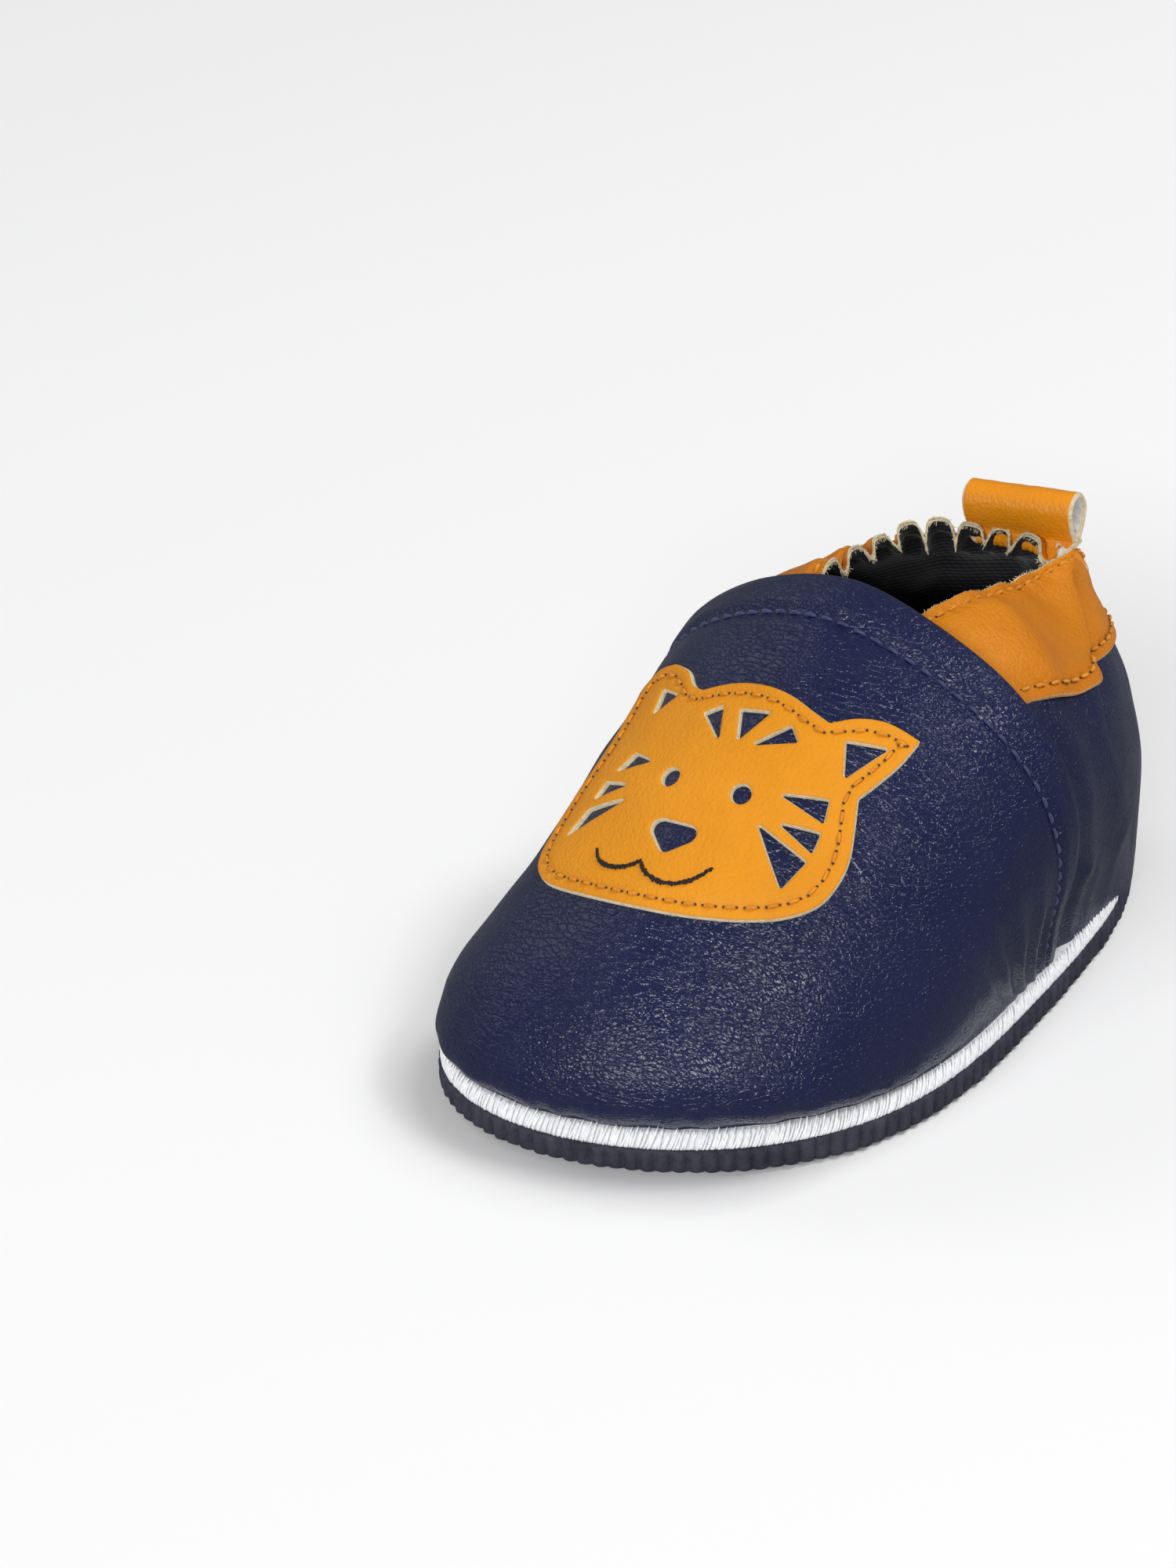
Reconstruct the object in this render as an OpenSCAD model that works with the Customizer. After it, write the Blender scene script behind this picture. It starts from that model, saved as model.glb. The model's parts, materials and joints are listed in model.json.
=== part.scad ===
// Baby's soft slip-on bootie for the left foot, in millimetres.
// +Z is up, the toe points to -Y, the heel to +Y, and the outer side of the foot is +X.
// The sole rests on z = 0, and the origin is under the middle of the bootie's bounding box.

/* [Sole] */
// Length of the foot outline, toe to heel
sole_length = 125; // [122:0.5:128]
// Half width of the outline at the ball of the foot
ball_half_width = 35.2; // [34.6:0.1:35.8]
// Half width of the outline at the heel
heel_half_width = 29.2; // [28.6:0.1:29.8]
// How far the toe is skewed towards the big toe
toe_skew = 12.8; // [11:0.2:14]
// Thickness of the rubber outsole
outsole_t = 3.9; // [3.4:0.1:4.2]
// How far the outsole stands out past the upper
outsole_lip = 0.7; // [0.5:0.05:0.9]
// Number of ribs round the edge of the outsole
edge_ribs = 72; // [48:6:96]
// Height of each rib
rib_h = 0.35; // [0.2:0.05:0.45]

/* [Welt] */
// Height of the overstitched band above the outsole
welt_h = 3.4; // [3:0.1:3.6]
// Depth of the band under the edge of the upper
welt_depth = 3.4; // [3.2:0.1:3.6]
// Number of slanted threads round the band
welt_threads = 150; // [100:10:180]

/* [Upper] */
// Height of the vamp at the throat
throat_z = 67; // [66:0.5:68]
// Thickness of the outer leather
leather_t = 0.85; // [0.7:0.05:0.9]
// Thickness of the lining
lining_t = 0.45; // [0.3:0.05:0.5]
// Height of the collar rim at its front ends
rim_front_z = 63.5; // [62.5:0.5:64]
// Height of the collar rim at the heel
rim_heel_z = 56; // [55.5:0.1:56.2]
// Half width of the gathered mouth
mouth_half_width = 13.2; // [12.4:0.2:14]
// How far the collar lies proud of the navy leather under it
collar_lift = 1.1; // [1:0.05:1.15]
// Length of the sides that is tucked under the vamp, as a share of the vamp
side_tuck = 0.065; // [0.05:0.005:0.075]

/* [Pull loop] */
// Width of the strap
loop_w = 17.5; // [15:0.5:18]
// Thickness of the strap
loop_t = 1.1; // [0.9:0.1:1.2]
// Height of the loop above its root
loop_h = 7.9; // [7:0.1:8.2]

/* [Face patch] */
// Thickness of the patch
patch_t = 1.0; // [0.8:0.05:1.1]
// Distance of the stitching from the edge of the patch
patch_margin = 1.7; // [1.5:0.1:1.9]

/* [Stitching] */
// Distance from one stitch to the next
stitch_pitch = 3.1; // [2.8:0.1:3.6]
// Radius of the thread
thread_r = 0.32; // [0.25:0.01:0.36]

/* [Hidden] */

navy = [0.10, 0.12, 0.24];
mustard = [0.85, 0.52, 0.10];

// Outline of the foot: a superellipse whose width eases from the ball to the heel
half_len = sole_length/2;
ease_from = -0.69;
ease_to = 0.58;
toe_power = 3.3;
heel_power = 3;
// Heights of the layers
foot_z = outsole_t + welt_h + 0.1;
// The vamp meets the outline between these two stations, as shares of the half length
station_toe = -0.57;
station_rear = 0.24;
rear_angle = asin(station_rear);
// Layers of the upper, inwards from the vamp's face
gap = 0.1;
lining_in = leather_t + gap;
side_gap = 1.75;
quarter_lining_in = 1.05;
rim_share = 0.17;
mouth_front_y = 5.7;
mouth_heel_y = 45;
// Centre profile of the vamp, [y, z], from the toe to the throat
profile = [[-half_len, foot_z], [-69.7, 14.3], [-61, 27], [-38.8, 31.2], [-23, 58.6], [3.6, throat_z]];
// How the vamp's cross-sections change from the toe to the rear edge
overhang = [8.5, 30];
fullness = [0.85, 0.69];
plan_fullness = 0.87;
flank_power = [1, 1.23];
ridge_shift = [8.1, 1.8];
// Grid of the vamp: columns across and rows along
vamp_cols = 32;
vamp_rows = 20;
// Root of the pull loop, and how it is turned
loop_root = [1.9, 47.5, 57.2];
loop_turn = [0, -4, 8];
loop_lean = 8;
loop_root_r = 1.15;
// Where the patch lies on the vamp
patch_centre = [-2.3, -30.7, 44.7];
patch_tilt = 37.6;
patch_turn = -2.4;
patch_roll = 5.5;
// The middle of the bounding box, in the frame in which the outline is drawn
box_middle = [0.175, 0.07, 0];

function smooth(x, a, b) = let(t = max(0, min(1, (x - a)/(b - a)))) t*t*(3 - 2*t);
function power(x, p) = x <= 0 ? 0 : pow(x, p);
function mix(a, b, t) = a + (b - a)*t;
function bezier(P, t) = len(P) == 1 ? P[0]
    : bezier([for (i = [0:len(P) - 2]) mix(P[i], P[i + 1], t)], t);
function unit(v) = v/norm(v);
function flat(rows) = [for (r = rows) each r];

function half_width(u) =
    let(w = mix(ball_half_width, heel_half_width, smooth(u, ease_from, ease_to)))
    w*sqrt(max(0, 1 - power(abs(u), u < 0 ? toe_power : heel_power)));
function centre_x(u) = let(m = max(0, min(1, -u))) -toe_skew*m*m;

// A point on the outline: -90 is the toe, 0 the outer side, 90 the heel
function outline(angle, off) =
    let(u = sin(angle), c = cos(angle), side = c >= 0 ? 1 : -1)
    [centre_x(u) + side*(half_width(u) + off*abs(c)), half_len*u + off*u];
function outline3(angle, off, z) = let(p = outline(angle, off)) [p.x, p.y, z];

// A point on the vamp: s runs across from -1 to 1, t from the toe to the rear edge,
// and d is the depth under the outer face
function vamp_point(s, t, d) =
    let(e = 0.001,
        slope = unit(bezier(profile, t + e) - bezier(profile, t - e)),
        top = bezier(profile, t) + d*[slope.y, -slope.x*smooth(t, 0, 0.08)],
        station = mix(station_toe, station_rear, t),
        over = mix(overhang[0], overhang[1], t)*smooth(t, 0, 0.3),
        low = cos(90 + over),
        turn = s*(90 + over),
        across = sign(s)*power(abs(sin(turn))/cos(over), mix(flank_power[0], flank_power[1], t)),
        lift = power((cos(turn) - low)/(1 - low), mix(fullness[0], fullness[1], t)),
        cx = centre_x(station),
        ridge = centre_x(top.x/half_len) + ridge_shift[0]*smooth(t, 0, 0.3)
                + (ridge_shift[1] - ridge_shift[0])*t,
        body = [cx + (half_width(station) - d)*across + (ridge - cx)*lift,
                mix(half_len*station, top.x, power(lift, plan_fullness)),
                mix(foot_z, top.y, lift)])
    body + power(1 - t, 4)*toe_shift(s, d);

// What moves the vamp's first row on to the outline of the toe
function toe_shift(s, d) =
    let(first = asin(station_toe),
        angle = mix(-90, first, abs(s)),
        lift = power(cos(90*s), fullness[0]),
        cx = centre_x(station_toe),
        y0 = -half_len + d,
        x = cx + (half_width(station_toe) - d)*sin(90*s) + (centre_x(y0/half_len) - cx)*lift)
    outline3(s >= 0 ? angle : 180 - angle, -d, foot_z)
    - [x, mix(half_len*station_toe, y0, power(lift, plan_fullness)), foot_z];

// A point on the back half: c runs from -1, the outer side of the vamp's edge, round the
// heel at 0 to 1, h from the sole to the rim. Past -1 and 1 the leather is under the vamp.
function rim_point(side, around, d) =
    let(g = sin(90*around))
    [side*(mouth_half_width - d)*sqrt(max(0, 1 - power(g, 3.2))),
     mix(mouth_front_y, mouth_heel_y - d, g),
     mix(rim_front_z, rim_heel_z, g)];
function back_wall(side, around, h, d) =
    let(angle = mix(rear_angle, 90, around),
        foot = outline3(side > 0 ? angle : 180 - angle, -d, foot_z),
        out = [side*cos(angle), sin(angle), 0],
        heel = smooth(out.y, 0.1, 0.95),
        rim = rim_point(side, around, d),
        inward = [rim.x - foot.x, rim.y - foot.y, 0])
    bezier([foot,
            foot + (3.5 + 0.5*heel)*out + [0, 0, 12],
            foot + (3 + 1.5*heel)*out + [0, 0, 23 + 8*heel],
            foot + (0.5 - 0.05*heel)*inward + [0, 0, 42 + heel],
            rim], h);
function under_vamp(side, h, t, d) =
    vamp_point(side*(1 - (1 - rim_share)*power(h, 1.3)), t, side_gap + d);
function back_point(c, h, d) =
    let(side = c < 0 ? 1 : -1,
        around = max(0, 1 - abs(c)),
        hidden = max(0, abs(c) - 1)/0.1)
    hidden > 0 ? under_vamp(side, h, 1 - side_tuck*hidden, d)
    : back_wall(side, around, h, d)
      + (1 - smooth(around, 0, 0.55))*(under_vamp(side, h, 1, d) - back_wall(side, 0, h, d));

// Height share of the collar's lower edge
function collar_low(c) = 0.715 - 0.135*smooth(1 - abs(c), 0, 0.9);
// The collar comes proud of the leather under it once it is clear of the vamp
function collar_out(c) = -collar_lift*smooth(1 - abs(c), 0.02, 0.14);

// Columns round the back half, with the tucked ones at each end
back_half = 22;
back_cols = concat([-1.1, -1.05], [for (i = [-back_half:back_half]) i/back_half], [1.05, 1.1]);
heel_cols = [for (c = back_cols) if (abs(c) < 0.86) c];

// A closed sheet between two grids of points, outer and inner
module sheet(outer, inner) {
    rows = len(outer);
    cols = len(outer[0]);
    n = rows*cols;
    skin = [for (j = [0:rows - 2]) for (i = [0:cols - 2]) let(a = j*cols + i)
        each [[a, a + cols, a + 1], [a + 1, a + cols, a + cols + 1]]];
    edge = concat([for (i = [0:cols - 1]) i],
                  [for (j = [1:rows - 1]) j*cols + cols - 1],
                  [for (i = [cols - 2:-1:0]) (rows - 1)*cols + i],
                  [for (j = [rows - 2:-1:1]) j*cols]);
    m = len(edge);
    rim = [for (k = [0:m - 1]) let(a = edge[k], b = edge[(k + 1)%m])
        each [[a, b, a + n], [b, b + n, a + n]]];
    polyhedron(concat(flat(outer), flat(inner)),
               concat(skin, [for (f = skin) [f[2] + n, f[1] + n, f[0] + n]], rim));
}

// A closed ring with the same profile all the way round
module ring(loops) {
    k = len(loops);
    m = len(loops[0]);
    polyhedron(flat(loops), [for (i = [0:k - 1]) for (j = [0:m - 1])
        let(a = i*m + j, b = i*m + (j + 1)%m, c = ((i + 1)%k)*m + j, d = ((i + 1)%k)*m + (j + 1)%m)
        each [[a, b, c], [b, d, c]]]);
}

// One stitch from p to q: a thread that thins at both ends
module stitch(p, q, r = thread_r) {
    middle = mix(p, q, 0.5);
    side = r*unit(cross(q - p, [0.01, 0.02, 1]));
    up = r*unit(cross(side, q - p));
    hull() polyhedron([p, q, middle + side, middle + up, middle - side, middle - up],
                      [[0, 2, 3], [0, 3, 4], [0, 4, 5], [0, 5, 2],
                       [1, 3, 2], [1, 4, 3], [1, 5, 4], [1, 2, 5]]);
}

// Stitches along a list of points, one between each pair, with a gap after each
module stitch_row(points, fill = 0.68, r = thread_r) {
    for (i = [0:len(points) - 2])
        stitch(points[i], mix(points[i], points[i + 1], fill), r);
}

module outline_area(off) {
    steps = 120;
    polygon([for (i = [0:steps - 1]) outline(360*i/steps, off)]);
}

module ribbed_area() {
    steps = edge_ribs*4;
    polygon([for (i = [0:steps - 1]) outline(360*i/steps, outsole_lip + rib_h*sin(360*i/4))]);
}

module outsole() {
    groove_w = 1.8;
    groove_depth = 0.8;
    groove_pitch = 11;
    color([0.13, 0.14, 0.19]) {
        translate([0, 0, groove_depth])
            linear_extrude(outsole_t - groove_depth) ribbed_area();
        linear_extrude(groove_depth) difference() {
            ribbed_area();
            intersection() {
                outline_area(-7);
                for (i = [-5:5])
                    translate([-60, i*groove_pitch]) square([120, groove_w]);
            }
        }
    }
}

module welt_band() {
    steps = 100;
    low = outsole_t + 0.02;
    high = outsole_t + welt_h;
    color([0.92, 0.93, 0.95])
        ring([for (i = [0:steps - 1]) let(a = 360*i/steps)
            [outline3(a, -welt_depth, low), outline3(a, 0.1, low), outline3(a, 0.4, mix(low, high, 0.5)),
             outline3(a, 0.1, high), outline3(a, -welt_depth, high)]]);
}

module insole_foam() {
    color([0.93, 0.90, 0.84])
        translate([0, 0, outsole_t + 0.02])
            linear_extrude(welt_h - 0.1) outline_area(-welt_depth - 0.15);
}

module insole_sock() {
    color([0.09, 0.10, 0.15])
        translate([0, 0, foot_z + 0.02])
            linear_extrude(0.7) outline_area(-welt_depth - 0.5);
}

module vamp_sheet(d_out, d_in, cols = [0:vamp_cols], rows = [0:vamp_rows]) {
    outer = [for (j = rows) [for (i = cols) vamp_point(2*i/vamp_cols - 1, j/vamp_rows, d_out)]];
    inner = [for (j = rows) [for (i = cols) vamp_point(2*i/vamp_cols - 1, j/vamp_rows, d_in)]];
    sheet(outer, inner);
}

module vamp() {
    color(navy) vamp_sheet(0, leather_t);
}

module vamp_lining() {
    color([0.09, 0.10, 0.15]) vamp_sheet(lining_in, lining_in + lining_t);
}

module quarter() {
    rows = 9;
    // The collar laps over the top of this leather wherever it lies proud
    function top(c) = collar_low(c) - 0.004 + 0.034*smooth(1 - abs(c), 0.16, 0.24);
    color(navy) sheet(
        [for (j = [0:rows]) [for (c = back_cols) back_point(c, top(c)*j/rows, 0)]],
        [for (j = [0:rows]) [for (c = back_cols) back_point(c, top(c)*j/rows, leather_t)]]);
}

module quarter_lining() {
    rows = 10;
    color([0.09, 0.10, 0.15]) sheet(
        [for (j = [0:rows]) [for (c = back_cols) back_point(c, j/rows, quarter_lining_in)]],
        [for (j = [0:rows]) [for (c = back_cols)
            back_point(c, j/rows, quarter_lining_in + lining_t)]]);
}

module collar() {
    rows = 6;
    function share(c, j) = mix(collar_low(c) + 0.004, 1, j/rows);
    color(mustard) sheet(
        [for (j = [0:rows]) [for (c = back_cols) back_point(c, share(c, j), collar_out(c))]],
        [for (j = [0:rows]) [for (c = back_cols)
            back_point(c, share(c, j), collar_out(c) + leather_t - 0.05)]]);
}

module collar_elastic() {
    rows = 2;
    function share(j) = mix(0.87, 0.95, j/rows);
    color([0.95, 0.95, 0.93]) sheet(
        [for (j = [0:rows]) [for (c = heel_cols) back_point(c, share(j), 0.05)]],
        [for (j = [0:rows]) [for (c = heel_cols) back_point(c, share(j), 0.75)]]);
}

// Cross-section of the loop, standing on its root
module loop_section() {
    crown_r = 3.1;
    crown_y = loop_h - crown_r;
    difference() {
        hull() {
            circle(loop_root_r, $fn = 32);
            translate([0, crown_y]) circle(crown_r, $fn = 48);
        }
        hull() {
            translate([0, loop_root_r + 1.4]) circle(0.4, $fn = 24);
            translate([0, crown_y]) circle(crown_r - loop_t, $fn = 40);
        }
    }
}

module pull_loop() {
    color(mustard)
        translate(loop_root) rotate(loop_turn)
            rotate([0, 0, 90]) rotate([90, 0, 0])
                translate([0, 0, -loop_w/2]) linear_extrude(loop_w)
                    rotate(-loop_lean) loop_section();
}

// The two ends of the strap: one behind the collar leather, one down its outside
module pull_loop_tails() {
    cols = [for (i = [-3:3]) i/3*0.235];
    rows = 3;
    function strap(top, bottom, d) =
        [for (j = [0:rows]) [for (c = cols) back_point(c, mix(bottom, top, j/rows), d)]];
    color(mustard) {
        sheet(strap(0.955, 0.80, -collar_lift - 1.25), strap(0.955, 0.80, -collar_lift - 0.3));
        sheet(strap(0.86, 0.77, 0.1), strap(0.86, 0.77, 0.85));
    }
}

module loop_box_stitch() {
    half = 0.19;
    low = 0.825;
    high = 0.915;
    count = 5;
    depth = -collar_lift - 1.7;
    function side(a, b) = [for (i = [0:count]) let(p = mix(a, b, i/count))
        back_point(p.x, p.y, depth)];
    color([0.62, 0.36, 0.08]) {
        stitch_row(side([-half, low], [half, low]));
        stitch_row(side([-half, high], [half, high]));
        stitch_row(side([-half, low], [half, high]));
        stitch_row(side([-half, high], [half, low]));
    }
}

// Outline of the patch, round a small animal face: [x, y] with y up the foot
face_outline = [[-23.6, 14.5], [-23.9, 18.6], [-21.5, 21.9], [-17.6, 22.6], [-13.8, 21.2], [-10.8, 18.6],
                [-8.2, 17.9], [-4.8, 19.1], [-0.8, 19.9], [3.5, 20], [7.4, 19.4], [11, 18.2],
                [14.2, 17.2], [17.6, 19.4], [21.4, 20.4], [25.8, 19.8], [24.9, 15.6], [23.3, 11.6],
                [21.8, 8.4], [23, 4], [23.8, -0.3], [23.6, -4.2], [22.4, -8], [19.2, -11.4],
                [14.6, -13.8], [9, -15.6], [3, -16.8], [-3.5, -17.3], [-11.5, -17.2], [-18.6, -16.4],
                [-22.6, -14.2], [-24.6, -10.8], [-25.3, -5.4], [-24.9, 0], [-23.8, 5], [-23.4, 10]];
// Cut-outs through which the navy leather shows, three corners each
face_cuts = [[[-17, 17.8], [-13.4, 16.8], [-16.2, 13.8]], [[-5.2, 14], [-2.9, 15.4], [-0.8, 10.5]],
             [[0.8, 15.4], [5.2, 15.9], [2.7, 11]], [[9.3, 14.8], [10.9, 13.1], [5.6, 10.9]],
             [[17.6, 15.4], [22.5, 16.6], [19.2, 10.8]], [[12.7, 4.9], [18.4, 6.4], [18.9, 3.4]],
             [[14.2, 0.8], [19.1, 1.5], [19.1, -1.2]], [[11.3, -0.6], [18.8, -3], [17.3, -7.6]],
             [[-11.3, 5.3], [-15, 6.2], [-16.8, 3.4]], [[-13.6, 0.9], [-17.9, 1.1], [-18.5, -1.5]],
             [[-12.4, -1.7], [-18.5, -3.7], [-20, -8]]];
eye_at = [[-5.6, 3.1], [6.8, 3.1]];
eye_r = 1.6;
nose_corners = [[-3.3, -4.9], [1.9, -4.9], [-0.7, -7.2]];
mouth_line = [[-12, -10.2], [-10.6, -11.8], [-8.2, -12.4], [-5.6, -11.9], [-3.4, -10.6],
              [-2, -11.9], [0.6, -12.8], [3.4, -12.4], [5.8, -10.9], [7.5, -8.8]];

// The patch's own frame, with its flat shape pushed down on to the vamp
module on_patch() {
    translate(patch_centre) rotate([0, 0, patch_turn]) rotate([patch_tilt, 0, 0])
        rotate([0, 0, patch_roll]) translate([0, 0, -24]) linear_extrude(40) children();
}

module over_vamp(d_out, d_in) {
    vamp_sheet(d_out, d_in, [6:23], [10:19]);
}

module face_area() {
    offset(r = 0.8, $fn = 20) offset(delta = -0.8) polygon(face_outline);
}

module cut_shape(corners, r) {
    hull() for (p = corners) translate(p) circle(r, $fn = 12);
}

module face_patch() {
    color(mustard) intersection() {
        over_vamp(-patch_t - 0.12, -0.12);
        on_patch() difference() {
            face_area();
            for (corners = face_cuts) cut_shape(corners, 0.35);
            cut_shape(nose_corners, 1.1);
            for (p = eye_at) translate(p) circle(eye_r, $fn = 20);
        }
    }
}

// The outline moved inwards, as points one stitch apart
function inset_point(P, i, inset) =
    let(n = len(P), a = P[(i + n - 1)%n], b = P[(i + 1)%n], along = unit(b - a))
    P[i] + inset*[along.y, -along.x];
function lengths(P, i = 0, sum = 0) = i == len(P) - 1 ? [sum]
    : concat([sum], lengths(P, i + 1, sum + norm(P[i + 1] - P[i])));
function at_length(P, L, x, i = 0) =
    i >= len(P) - 2 || x <= L[i + 1] ? mix(P[i], P[i + 1], (x - L[i])/(L[i + 1] - L[i]))
    : at_length(P, L, x, i + 1);
function spaced(P, step) =
    let(L = lengths(P), total = L[len(L) - 1], count = round(total/step))
    [for (i = [0:count]) at_length(P, L, min(total, total*i/count))];

module dashes(points, fill, r) {
    for (i = [0:len(points) - 2]) hull() {
        translate(points[i]) circle(r, $fn = 5);
        translate(mix(points[i], points[i + 1], fill)) circle(r, $fn = 5);
    }
}

module face_patch_stitching() {
    inner = [for (i = [0:len(face_outline) - 1]) inset_point(face_outline, i, patch_margin)];
    color([0.55, 0.30, 0.07]) intersection() {
        over_vamp(-patch_t - 0.62, -patch_t - 0.22);
        on_patch() dashes(spaced(concat(inner, [inner[0]]), stitch_pitch), 0.62, thread_r);
    }
}

module mouth_embroidery() {
    color([0.14, 0.08, 0.07]) intersection() {
        over_vamp(-patch_t - 0.72, -patch_t - 0.22);
        on_patch() dashes(spaced(mouth_line, 2), 0.8, 0.5);
    }
}

module throat_stitching() {
    count = 52;
    color([0.16, 0.19, 0.36])
        stitch_row([for (i = [0:count]) vamp_point(mix(-0.98, 0.98, i/count), 0.945, -0.5)]);
}

// Points round the back half at a given height share, one stitch apart
function back_row(h, d, share) =
    spaced([for (i = [-40:40]) let(c = share*i/40)
                back_point(c, mix(collar_low(c), 1, h), collar_out(c) + d)],
           stitch_pitch);

module collar_rim_stitching() {
    color([0.62, 0.36, 0.08]) {
        row = back_row(0.92, -0.5, 0.99);
        // The row stops on each side of the pull loop's strap
        stitch_row([for (p = row) if (p.x > loop_root.x + loop_w/2) p]);
        stitch_row([for (p = row) if (p.x < loop_root.x - loop_w/2) p]);
    }
}

module collar_lower_stitching() {
    color([0.62, 0.36, 0.08]) stitch_row(back_row(0.1, -0.5, 0.99));
}

module welt_stitching() {
    low = outsole_t + 0.25;
    high = foot_z - 0.35;
    slant = 1.6;
    // The threads lie just clear of the band's belly
    off = 0.74;
    color([0.96, 0.96, 0.98])
        for (i = [0:welt_threads - 1]) let(a = 360*i/welt_threads)
            stitch(outline3(a, off, low), outline3(a + slant, off, high), 0.25);
}

module placed() {
    translate(-box_middle) children();
}

placed() outsole();
placed() welt_band();
placed() insole_foam();
placed() insole_sock();
placed() vamp();
placed() vamp_lining();
placed() quarter();
placed() quarter_lining();
placed() collar();
placed() collar_elastic();
placed() pull_loop();
placed() pull_loop_tails();
placed() loop_box_stitch();
placed() face_patch();
placed() face_patch_stitching();
placed() mouth_embroidery();
placed() throat_stitching();
placed() collar_rim_stitching();
placed() collar_lower_stitching();
placed() welt_stitching();
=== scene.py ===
"""Looks of the baby bootie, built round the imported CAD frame. Lengths are in millimetres until placed()."""

import json
import math

import bpy
import numpy as np
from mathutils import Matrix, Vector
from mathutils.bvhtree import BVHTree
from mathutils.geometry import delaunay_2d_cdt


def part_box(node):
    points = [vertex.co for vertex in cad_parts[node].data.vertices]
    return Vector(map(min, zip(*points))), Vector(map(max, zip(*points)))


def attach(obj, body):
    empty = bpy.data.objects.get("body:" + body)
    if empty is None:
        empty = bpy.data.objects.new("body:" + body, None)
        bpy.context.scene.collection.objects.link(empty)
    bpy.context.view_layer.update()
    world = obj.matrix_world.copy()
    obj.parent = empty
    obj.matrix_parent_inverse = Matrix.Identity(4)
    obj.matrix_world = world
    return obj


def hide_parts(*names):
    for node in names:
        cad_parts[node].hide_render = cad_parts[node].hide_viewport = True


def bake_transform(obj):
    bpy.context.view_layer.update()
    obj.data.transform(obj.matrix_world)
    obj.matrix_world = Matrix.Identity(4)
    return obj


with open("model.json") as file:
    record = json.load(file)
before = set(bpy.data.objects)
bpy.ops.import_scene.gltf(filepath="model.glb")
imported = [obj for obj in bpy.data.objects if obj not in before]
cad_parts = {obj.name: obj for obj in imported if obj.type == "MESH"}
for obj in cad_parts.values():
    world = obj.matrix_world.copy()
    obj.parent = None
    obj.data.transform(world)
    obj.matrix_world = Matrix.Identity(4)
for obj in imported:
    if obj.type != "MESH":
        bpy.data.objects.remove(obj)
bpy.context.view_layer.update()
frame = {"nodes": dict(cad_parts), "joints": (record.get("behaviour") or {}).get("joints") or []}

MM = 0.001

# ---------------------------------------------------------------- sizes, from the frame and the design
SOLE_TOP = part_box("outsole")[1].z/MM
WELT_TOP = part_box("welt_band")[1].z/MM
FOOT_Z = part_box("vamp")[0].z/MM
THROAT_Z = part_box("vamp")[1].z/MM
# Outline of the foot, seen from above
HALF_LEN = 62.5
BALL_HALF, HEEL_HALF = 35.2, 29.2
EASE_FROM, EASE_TO = -0.69, 0.58
TOE_POWER, HEEL_POWER = 3.3, 3.0
TOE_SKEW = 12.8
STATION_TOE, STATION_REAR = -0.57, 0.24
REAR_ANGLE = math.degrees(math.asin(STATION_REAR))
# Vamp: its middle line as (y, z), how far its sides curl under, and how full they are at the toe and the rear
PROFILE = [(-HALF_LEN, FOOT_Z), (-69.7, 14.3), (-61, 27), (-38.8, 31.2), (-23, 58.6), (3.6, THROAT_Z)]
OVERHANG, FULLNESS, PLAN_FULLNESS = (8.5, 30.0), (0.85, 0.69), 0.87
FLANK_POWER, RIDGE_SHIFT = (1.0, 1.23), (8.1, 1.8)
LEATHER_T, LINING_T, SIDE_GAP = 0.85, 0.45, 1.75
# Mouth: share of the vamp's width left at the rim, half width, front and rear, and heights there
RIM_SHARE, MOUTH_HALF, MOUTH_Y, RIM_Z = 0.17, 13.2, (5.7, 45.0), (63.5, 56.0)
COLLAR_LIFT, SIDE_TUCK = 1.1, 0.065
STITCH_PITCH = 3.1
# Pull loop: strap's width, height, half its depth, roll and turn, and lean
LOOP_W, LOOP_H, LOOP_CROWN = 17.5, 7.9, 3.1
LOOP_TURN, LOOP_LEAN = (4.0, 8.0), 8.0
# Middle of the CAD's box in the design's own axes
MIDDLE = np.array([0.175, 0.07, 0.0])
LOOP_ROOT = np.array(frame["joints"][0]["pos_m"])/MM + MIDDLE
PATCH_CENTRE = np.array([-2.3, -30.7, 44.7])
PATCH_TILT, PATCH_TURN, PATCH_ROLL = 37.6, -2.4, 5.5
PATCH_T, PATCH_MARGIN = 0.8, 1.7


# ---------------------------------------------------------------- small maths
def smooth(x, a, b):
    t = np.clip((np.asarray(x, float) - a)/(b - a), 0, 1)
    return t*t*(3 - 2*t)


def power(x, p):
    return np.power(np.maximum(x, 0), p)


def mix(a, b, t):
    return a + (b - a)*t


def sind(a):
    return np.sin(np.radians(a))


def cosd(a):
    return np.cos(np.radians(a))


def unit(v):
    v = np.asarray(v, float)
    return v/np.maximum(np.linalg.norm(v, axis=-1, keepdims=True), 1e-9)


def bump(x, centre, width):
    return np.exp(-((np.asarray(x, float) - centre)/width)**2)


def bezier(points, t):
    points = [np.asarray(p, float) for p in points]
    t = np.asarray(t, float)[..., None]
    while len(points) > 1:
        points = [mix(a, b, t) for a, b in zip(points[:-1], points[1:])]
    return points[0]


def noise(p, scale, seed=0):
    """Smooth value noise from -1 to 1 at points p, with features about scale millimetres across."""
    q = np.asarray(p, float)/scale
    cell = np.floor(q).astype(np.int64)
    f = q - cell
    f = f*f*(3 - 2*f)
    total = np.zeros(q.shape[:-1])
    for corner in np.ndindex(2, 2, 2):
        k = (cell[..., 0] + corner[0])*374761393 + (cell[..., 1] + corner[1])*668265263
        k = (k + (cell[..., 2] + corner[2])*2147483647 + seed*1274126177) & 0xffffffff
        k = ((k ^ (k >> 13))*1274126177) & 0xffffffff
        value = ((k ^ (k >> 16)) & 0xffff)/32767.5 - 1
        weight = [f[..., axis] if far else 1 - f[..., axis] for axis, far in enumerate(corner)]
        total += value*weight[0]*weight[1]*weight[2]
    return total


def placed(p):
    return (np.asarray(p, float) - MIDDLE)*MM


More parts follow.
